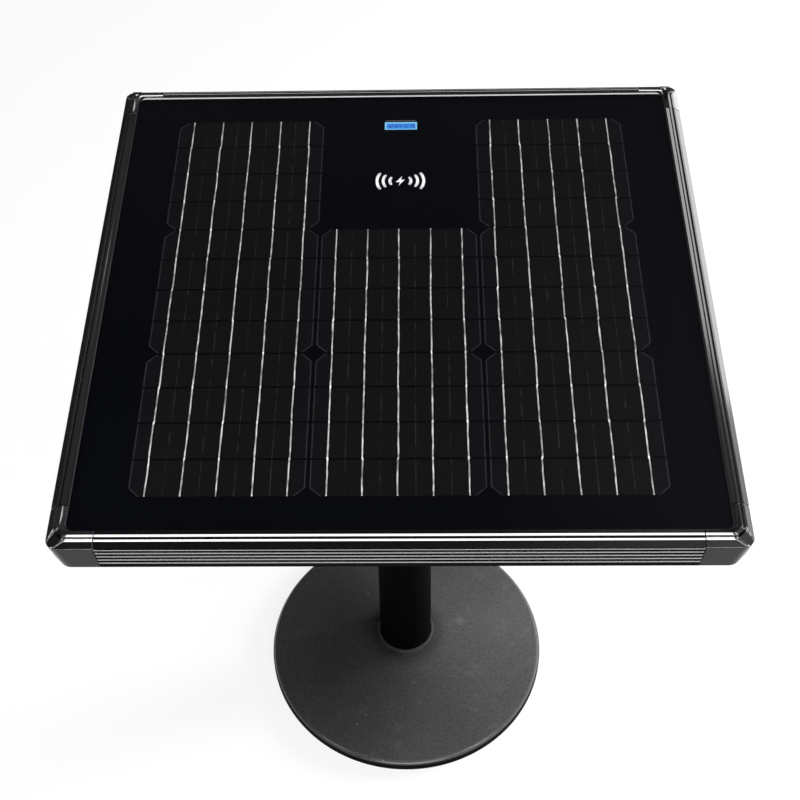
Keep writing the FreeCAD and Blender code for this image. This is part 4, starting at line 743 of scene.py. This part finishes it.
class MakeCells(bpy.types.Operator):
    """Solar cells, their ribbons and the dark sheet behind them"""

    bl_idname = "solar_table.cells"
    bl_label = "Cells and ribbons"

    def execute(self, context):
        size = sizes()
        paint(cell_finish("solar_cell_black"), "solar_cells")
        paint(sheet_finish("dark_sheet"), *in_slot("black_film"))
        paint(moulded("foam_tape", (0.018, 0.018, 0.018), 0.8, 0.0012), "glass_seat_tape")
        shapes = []
        for column in (-1, 0, 1):
            rear = RIBBON_HIGH.y - (size.row_pitch if column == 0 else 0)
            for ribbon in range(RIBBONS):
                x = column * size.column_pitch + (ribbon - (RIBBONS - 1) / 2) * size.ribbon_pitch
                shapes.append(self.ribbon(x, RIBBON_LOW.y, rear))
        piece(
            "tinned_ribbons", merged(shapes), ribbon_finish("tinned_ribbon"),
            replaces=("cell_ribbons",), sharp=50,
        )
        return {"FINISHED"}

    def ribbon(self, x, front, rear):
        """One ribbon: a thin strip that jogs a little from cell to cell and swells at each joint."""
        size = sizes()
        half = size.ribbon_width / 2
        made = block((-half, front, RIBBON_LOW.z), (half, rear, RIBBON_HIGH.z))
        lengthwise = [edge for edge in made.edges if span(edge, 1) > size.ribbon_width * 2]
        cuts = round((rear - front) / RIBBON_STEP)
        bmesh.ops.subdivide_edges(made, edges=lengthwise, cuts=cuts, use_grid_fill=True)
        for vert in made.verts:
            y = vert.co.y
            place = (y - size.cell_shift) / size.strip_pitch
            from_joint = abs(place - round(place)) * size.strip_pitch
            joint = 1.15 if from_joint < JOINT_SWELL else 0.8 if from_joint < JOINT_WAIST else 1.0
            swell = 1 + 0.45 * noise.noise((x * 40, y * 150, 3.0))
            jog = noise.cell((x * 1000, math.floor(place), 2.0)) - 0.5
            stray = noise.noise((x * 31, y * 45, 0.5)) + 0.5 * noise.noise((x * 17, y * 210, 7.5)) + jog
            vert.co.x = x + vert.co.x * swell * joint + stray * size.ribbon_waver
        return made


class MakeDisplay(bpy.types.Operator):
    """Display under the glass: its bezel, the lit face and plain figures"""

    bl_idname = "solar_table.display"
    bl_label = "Display"

    def execute(self, context):
        size = sizes()
        low, high = lit_area()
        bezel = block(SCREEN_LOW, SCREEN_HIGH - Vector((0, 0, BEZEL_DROP)))
        inside = [face for face in bezel.faces if face.normal.z > 0.5]
        bmesh.ops.inset_region(bezel, faces=inside, thickness=BEZEL_RIM, use_even_offset=True)
        bmesh.ops.translate(bezel, vec=(0, 0, -BEZEL_RECESS), verts=inside[0].verts)
        black = moulded("bezel_black", (0.006, 0.006, 0.007), 0.5)
        piece("display_bezel", bezel, black, replaces=("display_screen",))
        self.mask(low, high)
        top, level = SCREEN_HIGH.z, SCREEN_HIGH.z - LIGHT_DROP
        lap = Vector((LIGHT_LAP, LIGHT_LAP))
        face = block((*(low.xy - lap), level - LIGHT_SHEET), (*(high.xy + lap), level))
        soften(face, uprights(face), size.screen_corner, 6)
        piece("display_light", face, screen_finish("lit_blue"))
        front = high.y + EDGE_GAP
        rear = block(
            (low.x + EDGE_INSET, front, top - EDGE_SHEET), (high.x - EDGE_INSET, front + EDGE_WIDTH, top)
        )
        soften(rear, uprights(rear), EDGE_ROUND, 2)
        piece("display_rear_edge", rear, ink_finish("edge_grey", (0.14, 0.12, 0.11)))
        self.figures(level)
        return {"FINISHED"}

    def mask(self, low, high):
        """Black printed mask round the lit part, over the edge of the window in the sheets."""
        reach, top = Vector((MASK_REACH, MASK_REACH)), SCREEN_HIGH.z
        made = block(
            (*(SCREEN_LOW.xy - reach), top - INK_SHEET), (*(SCREEN_HIGH.xy + reach), top - MASK_DROP)
        )
        ends = [face for face in made.faces if abs(face.normal.z) > 0.5]
        bmesh.ops.inset_individual(made, faces=ends, thickness=BEZEL_RIM, use_even_offset=True)
        for face in ends:
            for vert in face.verts:
                vert.co.x = high.x if vert.co.x > 0 else low.x
                vert.co.y = high.y if vert.co.y > (low.y + high.y) / 2 else low.y
        rims = [list(face.edges) for face in ends]
        bmesh.ops.delete(made, geom=ends, context="FACES_ONLY")
        bmesh.ops.bridge_loops(made, edges=rims[0] + rims[1])
        piece("display_mask", made, sheet_finish("mask_print"))

    def figures(self, level):
        """A row of seven-segment figures."""
        size = sizes()
        tall = size.digit_height
        wide, stroke = tall * 0.55, tall * 0.15
        bars = {
            "a": (0, tall, wide, 0), "d": (0, 0, wide, 0), "g": (0, tall / 2, wide, 0),
            "f": (-wide / 2, tall * 0.75, 0, tall / 2), "b": (wide / 2, tall * 0.75, 0, tall / 2),
            "e": (-wide / 2, tall * 0.25, 0, tall / 2), "c": (wide / 2, tall * 0.25, 0, tall / 2),
        }
        advance = {".": stroke * 1.9, " ": wide * 0.9}
        steps = [advance.get(sign, wide + stroke * 2.4) for sign in size.figures]
        low, high = lit_area()
        middle = (low + high) / 2
        start = middle.x - sum(steps) / 2
        shapes = []
        for index, sign in enumerate(size.figures):
            x = start + sum(steps[:index]) + steps[index] / 2
            spots = [bars[letter] for letter in SEGMENTS.get(sign, "")]
            if sign == ".":
                spots = [(0, 0, 0, 0)]
            for off_x, off_y, run_x, run_y in spots:
                spot = Vector((x + off_x, middle.y - tall / 2 + off_y, level))
                reach = Vector((run_x * 0.86 + stroke, run_y * 0.86 + stroke, 0)) / 2
                bar = block(spot - reach, spot + reach + Vector((0, 0, INK_SHEET)))
                soften(bar, uprights(bar), stroke * 0.4, 2)
                shapes.append(bar)
        ink = ink_finish("figure_blue", colours().figure_blue, 0.5)
        piece("display_figures", merged(shapes), ink)


class MakeChargingMark(bpy.types.Operator):
    """White charging mark on the underside of the glass: three arcs each side of a bolt"""

    bl_idname = "solar_table.charging_mark"
    bl_label = "Charging mark"

    def execute(self, context):
        size = sizes()
        coil_y = (COIL_LOW.y + COIL_HIGH.y) / 2
        middle = (size.mark_shift, coil_y + size.mark_rise, GLASS_LOW.z - MARK_DROP)
        radii = (size.mark_inner, size.mark_middle, size.mark_outer)
        arcs = [self.arc(radius, turn) for radius in radii for turn in (0, math.pi)]
        mark = merged([self.bolt(), *arcs])
        bmesh.ops.translate(mark, vec=(0, 0, INK_SHEET), verts=lifted(mark, mark.faces[:]))
        moved(mark, Matrix.Translation(middle))
        piece("charging_mark", mark, ink_finish("mark_white", colours().mark_white))
        return {"FINISHED"}

    def arc(self, radius, turn):
        """A band of an arc with round ends, flat on the table."""
        stroke = sizes().mark_stroke / 2
        made = bmesh.new()
        ends = [made.verts.new((radius + offset, 0, 0)) for offset in (-stroke, stroke)]
        line = made.edges.new(ends)
        moved(made, Matrix.Rotation(-ARC_SPREAD, 4, "Z"))
        bmesh.ops.spin(
            made, geom=[*ends, line], cent=(0, 0, 0), axis=(0, 0, 1), angle=2 * ARC_SPREAD, steps=18
        )
        for angle in (-ARC_SPREAD, ARC_SPREAD):
            spot = Matrix.Rotation(angle, 4, "Z") @ Matrix.Translation((radius, 0, 0))
            bmesh.ops.create_circle(made, cap_ends=True, segments=16, radius=stroke, matrix=spot)
        moved(made, Matrix.Rotation(turn, 4, "Z") @ Matrix.Translation((sizes().mark_gap, 0, 0)))
        return made

    def bolt(self):
        """A slanted bolt of two wedges."""
        made = bmesh.new()
        made.faces.new([made.verts.new((x / 1000, y / 1000, 0)) for x, y in BOLT])
        return made


class MakeFrame(bpy.types.Operator):
    """Finishes of the rails, and the corner caps"""

    bl_idname = "solar_table.frame"
    bl_label = "Rails and caps"

    def execute(self, context):
        paint(rail_finish("rail_black_along_x", (90, 1, 1)), "front_rail", "rear_rail")
        lip = (REACH - LIP_INNER, REACH - LIP_OUTER)
        paint(rail_finish("rail_black_along_y", (1, 90, 1), lip), "left_rail", "right_rail")
        gloss = cap_finish("cap_gloss_black")
        for node in in_slot("cap_black"):
            self.cap(node, gloss)
        return {"FINISHED"}

    def cap(self, node, gloss):
        """One cap: its corner drawn out to a tip, with a sloped facet and ridges from the beads."""
        low, high = box_of(node)
        side = Vector((math.copysign(1, low.x + high.x), math.copysign(1, low.y + high.y), 0))
        made = bmesh.new()
        made.from_mesh(NODES[node].data)
        bmesh.ops.remove_doubles(made, verts=made.verts, dist=1e-5)
        bmesh.ops.dissolve_limit(made, angle_limit=0.01, verts=made.verts, edges=made.edges)
        soften(made, self.draw_out(made, side, low.z), sizes().cap_round, 5)
        self.cut_facet(made, side)
        if any(edge.is_boundary for edge in made.edges):
            raise RuntimeError(f"{node} is left open")
        shapes = [made]
        for along in (0, 1):
            end = self.spot(side, along, *RIDGE_END)
            shapes += [self.ridge(self.spot(side, along, *start), end) for start in RIDGE_STARTS]
        piece(node + "_moulded", merged(shapes), gloss, replaces=(node,), sharp=28)

    def draw_out(self, made, side, foot):
        """Opens the seams at the rails, draws the corner out to its tip, and gives its upright edges."""
        size = sizes()
        corner = set()
        for vert in made.verts:
            depth = [REACH - vert.co.x * side.x, REACH - vert.co.y * side.y]
            axis = 0 if depth[0] > depth[1] else 1
            far, near = max(depth), min(depth)
            slant = max(0.0, 1 - (vert.co.z - foot) / size.cap_seam) * (size.cap_skirt - size.cap_leg)
            if abs(far - size.cap_leg - slant) < NEAR and vert.co.z > foot + NEAR:
                vert.co[axis] += side[axis] * size.seam_gap
            if abs(far - near - size.cap_cut) > NEAR or near > CORNER_DEPTH:
                continue
            cut = size.cap_bead
            if near < NEAR:
                down = (CAP_TIP - vert.co.z) / (CAP_TIP - foot)
                cut = size.cap_top + down * (size.cap_foot - size.cap_top)
                corner.add(vert)
            vert.co[axis] = side[axis] * (REACH - near - cut)
        tall = [edge for edge in made.edges if span(edge, 2) > size.cap_top]
        return [edge for edge in tall if corner.issuperset(edge.verts)]

    def cut_facet(self, made, side):
        """Cuts the corner down to a facet that slopes to the tip."""
        spot = side * (REACH - sizes().cap_top / 2) + Vector((0, 0, CAP_TIP + FACET_LIFT))
        slope = side.normalized() * math.sin(FACET_SLOPE) + Vector((0, 0, math.cos(FACET_SLOPE)))
        whole = made.verts[:] + made.edges[:] + made.faces[:]
        cut = bmesh.ops.bisect_plane(
            made, geom=whole, dist=1e-6, plane_co=spot, plane_no=slope, clear_outer=True
        )
        rims = [item for item in cut["geom_cut"] if isinstance(item, bmesh.types.BMEdge)]
        bmesh.ops.holes_fill(made, edges=rims, sides=0)

    def spot(self, side, along, far, near, height):
        """A point by its depths from the two outer faces of a corner."""
        depth = [near, near]
        depth[along] = far
        return Vector((side.x * (REACH - depth[0]), side.y * (REACH - depth[1]), height))

    def ridge(self, start, end):
        """A rounded bar between two points, narrower at its end."""
        run = end - start
        half = sizes().ridge_width / 2
        made = block((-half, -half, -half), (run.length, half, half))
        soften(made, [edge for edge in made.edges if span(edge, 0) > half * 3], half * 0.8, 3)
        for vert in made.verts:
            if vert.co.x > run.length / 2:
                vert.co.yz *= 0.6
        moved(made, Matrix.LocRotScale(start, run.to_track_quat("X", "Z"), None))
        return made


class MakeColumn(bpy.types.Operator):
    """Round column with its powder coat"""

    bl_idname = "solar_table.column"
    bl_label = "Column"

    def execute(self, context):
        size = sizes()
        outer = TUBE_HIGH.x
        inner = outer - size.tube_wall
        tube = turned(
            [(outer, TUBE_LOW.z), (outer, TUBE_HIGH.z), (inner, TUBE_HIGH.z), (inner, TUBE_LOW.z)], [],
            size.turned_steps // 2,
        )
        coat = powder_coat("column_black", colours().column_black, 0.55, 0.0009, 0.00004, mirror=1.05)
        piece("column", tube, coat, replaces=("column_tube",))
        return {"FINISHED"}


class MakeBase(bpy.types.Operator):
    """Cone cover, weight, floor ring and levelling feet"""

    bl_idname = "solar_table.base"
    bl_label = "Base"

    def execute(self, context):
        size = sizes()
        sheet = size.cover_sheet
        wide, narrow = COVER_HIGH.x, TUBE_HIGH.x + COVER_GAP
        slope = (size.neck_height - size.rim_height) / (wide - narrow - sheet)
        cover = turned(
            [
                (wide, COVER_LOW.z),
                (wide, size.rim_height),
                (narrow + sheet, size.neck_height),
                (narrow + sheet, COVER_HIGH.z),
                (narrow, COVER_HIGH.z),
                (narrow, size.neck_height - sheet + sheet * slope),
                (wide - sheet, size.rim_height - sheet),
                (wide - sheet, COVER_LOW.z),
            ],
            [(1, size.rim_round), (2, size.neck_round), (3, size.neck_edge)],
            size.turned_steps,
        )
        coat = base_coat("base_grey")
        piece("base_cover_coated", cover, coat, replaces=("base_cover",), sharp=40)
        paint(powder_coat("cast_weight", (0.07, 0.07, 0.072), 0.6, 0.0022, 0.0003), "base_weight")
        dress("floor_rubber", moulded, (0.012, 0.012, 0.012), 0.7, 0.001)
        dress("foot_black", moulded, (0.016, 0.016, 0.017), 0.5)
        return {"FINISHED"}


class MakeUnderside(bpy.types.Operator):
    """Bottom panel, mounting plate, beams and fasteners"""

    bl_idname = "solar_table.underside"
    bl_label = "Underside"

    def execute(self, context):
        dress("panel_black", powder_coat, (0.02, 0.02, 0.021), 0.45, 0.0009, 0.00004)
        dress("plate_black", powder_coat, (0.017, 0.017, 0.018), 0.4, 0.0012, 0.00006)
        paint(plated("zinc_plate", (0.6, 0.6, 0.57), 0.28), *in_slot("zinc_steel"))
        return {"FINISHED"}


class MakeElectronics(bpy.types.Operator):
    """Boards, trays, coil, battery, leads and the rocker switch"""

    bl_idname = "solar_table.electronics"
    bl_label = "Electronics"

    def execute(self, context):
        dress("board_green", board_finish)
        dress("tray_black", moulded, (0.02, 0.02, 0.021), 0.5)
        dress("coil_copper", coil_finish)
        dress("ferrite_grey", powder_coat, (0.06, 0.06, 0.063), 0.6, 0.0006, 0.00005)
        dress("battery_sleeve", sleeve_finish)
        dress("strap_steel", plated, (0.55, 0.55, 0.55), 0.3, (40, 1, 1))
        dress("lead_black", moulded, (0.014, 0.014, 0.015), 0.45, 0.0009)
        dress("clip_black", moulded, (0.02, 0.02, 0.02), 0.55)
        dress("switch_black", moulded, (0.012, 0.012, 0.013), 0.3, 0.0004)
        return {"FINISHED"}


class MakeStage(bpy.types.Operator):
    """Pale floor, studio light and the camera"""

    bl_idname = "solar_table.stage"
    bl_label = "Studio and camera"

    def execute(self, context):
        scene = context.scene
        scene.view_settings.view_transform = "Standard"
        self.floor()
        self.world(scene)
        for lamp in LAMPS:
            self.lamp(*lamp)
        self.flag("left_flag", (-1.31, -0.6, 0.2), (-1.3, 2.2, 1.2))
        self.flag("rear_flag", (-1.2, 1.25, 0.05), (0.75, 1.26, 1.25), shading=False)
        self.camera(scene)
        return {"FINISHED"}

    def floor(self):
        """White floor that keeps the table's shadow, and is clear from below."""
        finish = Finish("studio_floor")
        cloud = finish.grain(0.8, 2.0)
        shade = finish.shades(cloud, colours().floor_white, 0.98, 1.02)
        lit = finish.node("ShaderNodeBsdfDiffuse", {"Color": shade})
        white = finish.node("ShaderNodeEmission", {"Color": (1, 1, 1, 1), "Strength": 1.0})
        surface = finish.node("ShaderNodeMixShader", {0: finish.seen() * 0.85, 1: lit, 2: white})
        camera = finish.node("ShaderNodeLightPath", output="Is Camera Ray")
        below = finish.node("ShaderNodeNewGeometry", output="Backfacing") * camera
        clear = finish.node("ShaderNodeBsdfTransparent")
        surface = finish.node("ShaderNodeMixShader", {0: below, 1: surface, 2: clear})
        made = bmesh.new()
        drop = Matrix.Translation((0, 0, -FLOOR_DROP))
        bmesh.ops.create_grid(made, x_segments=8, y_segments=8, size=FLOOR_SIZE, matrix=drop)
        added("studio_floor", made, finish.done(surface))

    def flag(self, name, low, high, shading=True):
        """Dark card out of the picture, that the rail beside it mirrors."""
        item = added(name, block(low, high), moulded("flag_black", (0.01, 0.01, 0.01), 0.9, 0.002))
        item.visible_camera = False
        item.visible_shadow = item.visible_diffuse = shading

    def world(self, scene):
        """Pale round the horizon and below it, dark overhead and on the left."""
        scene.world = bpy.data.worlds.new("studio")
        finish = Finish("studio", scene.world)
        towards = finish.node("ShaderNodeTexCoord", output="Generated")
        split = finish.node("ShaderNodeSeparateXYZ", {"Vector": towards})
        overhead = split["Z"].step(0.1, 0.28)
        dark = finish.mix(split["X"].step(0.0, 0.27), (0.01, 0.0105, 0.012), (0.2, 0.2, 0.21))
        rear = split["Y"].step(0.25, 0.65) * split["Z"].step(0.58, 0.78, 1.0, 0.0)
        dark = finish.mix(rear, dark, (0.09, 0.09, 0.094))
        horizon = finish.mix(finish.seen(), (0.26, 0.26, 0.265), (0.85, 0.85, 0.85))
        shade = finish.mix(overhead, horizon, dark)
        light = finish.node("ShaderNodeBackground", {"Color": shade, "Strength": 1.0})
        finish.done(light, "ShaderNodeOutputWorld")

    def lamp(self, name, spot, aim, wide, tall, power, mirrored):
        """A soft lamp that the camera doesn't see."""
        lamp = bpy.data.lights.new(name, "AREA")
        lamp.shape = "RECTANGLE"
        lamp.size, lamp.size_y = wide, tall
        lamp.energy = power
        item = placed(name, lamp)
        item.visible_camera = False
        item.visible_glossy = mirrored
        item.location = spot
        item.rotation_euler = (Vector(aim) - Vector(spot)).to_track_quat("-Z", "Y").to_euler()

    def camera(self, scene):
        """The camera, where the photograph was taken from."""
        lens = bpy.data.cameras.new("camera")
        lens.sensor_width = 36.0
        lens.lens = 70.22
        lens.shift_x, lens.shift_y = 0.0315, -0.0717
        lens.clip_end = 50.0
        item = placed("camera", lens)
        right = Vector((0.99958, 0.01363, -0.02557))
        up = Vector((0.00666, 0.75086, 0.66043))
        turn = Matrix((right, up, right.cross(up))).transposed().to_4x4()
        item.matrix_world = Matrix.Translation((0.01896, -1.03739, 1.77457)) @ turn
        scene.camera = item


MAKERS = (
    MakeGlass, MakeCells, MakeDisplay, MakeChargingMark, MakeFrame, MakeColumn, MakeBase, MakeUnderside,
    MakeElectronics, MakeStage,
)


class TablePanel(bpy.types.Panel):
    """Lists the makers of the table's pieces"""

    bl_idname = "SOLARTABLE_PT_makers"
    bl_label = "Solar Charging Table"
    bl_space_type = "VIEW_3D"
    bl_region_type = "UI"
    bl_category = "Table"

    def draw(self, context):
        for maker in MAKERS:
            self.layout.operator(maker.bl_idname)
        for group in (sizes(), colours()):
            column = self.layout.column()
            for name in group.bl_rna.properties.keys():
                if name not in ("rna_type", "name"):
                    column.prop(group, name)


CLASSES = (TableSizes, TableColours, *MAKERS, TablePanel)


def register():
    for item in CLASSES:
        bpy.utils.register_class(item)
    bpy.types.Scene.solar_table_sizes = PointerProperty(type=TableSizes)
    bpy.types.Scene.solar_table_colours = PointerProperty(type=TableColours)


def unregister():
    del bpy.types.Scene.solar_table_colours
    del bpy.types.Scene.solar_table_sizes
    for item in reversed(CLASSES):
        bpy.utils.unregister_class(item)


def main():
    register()
    for maker in MAKERS:
        group, name = maker.bl_idname.split(".")
        getattr(getattr(bpy.ops, group), name)()


if __name__ == "__main__":
    main()
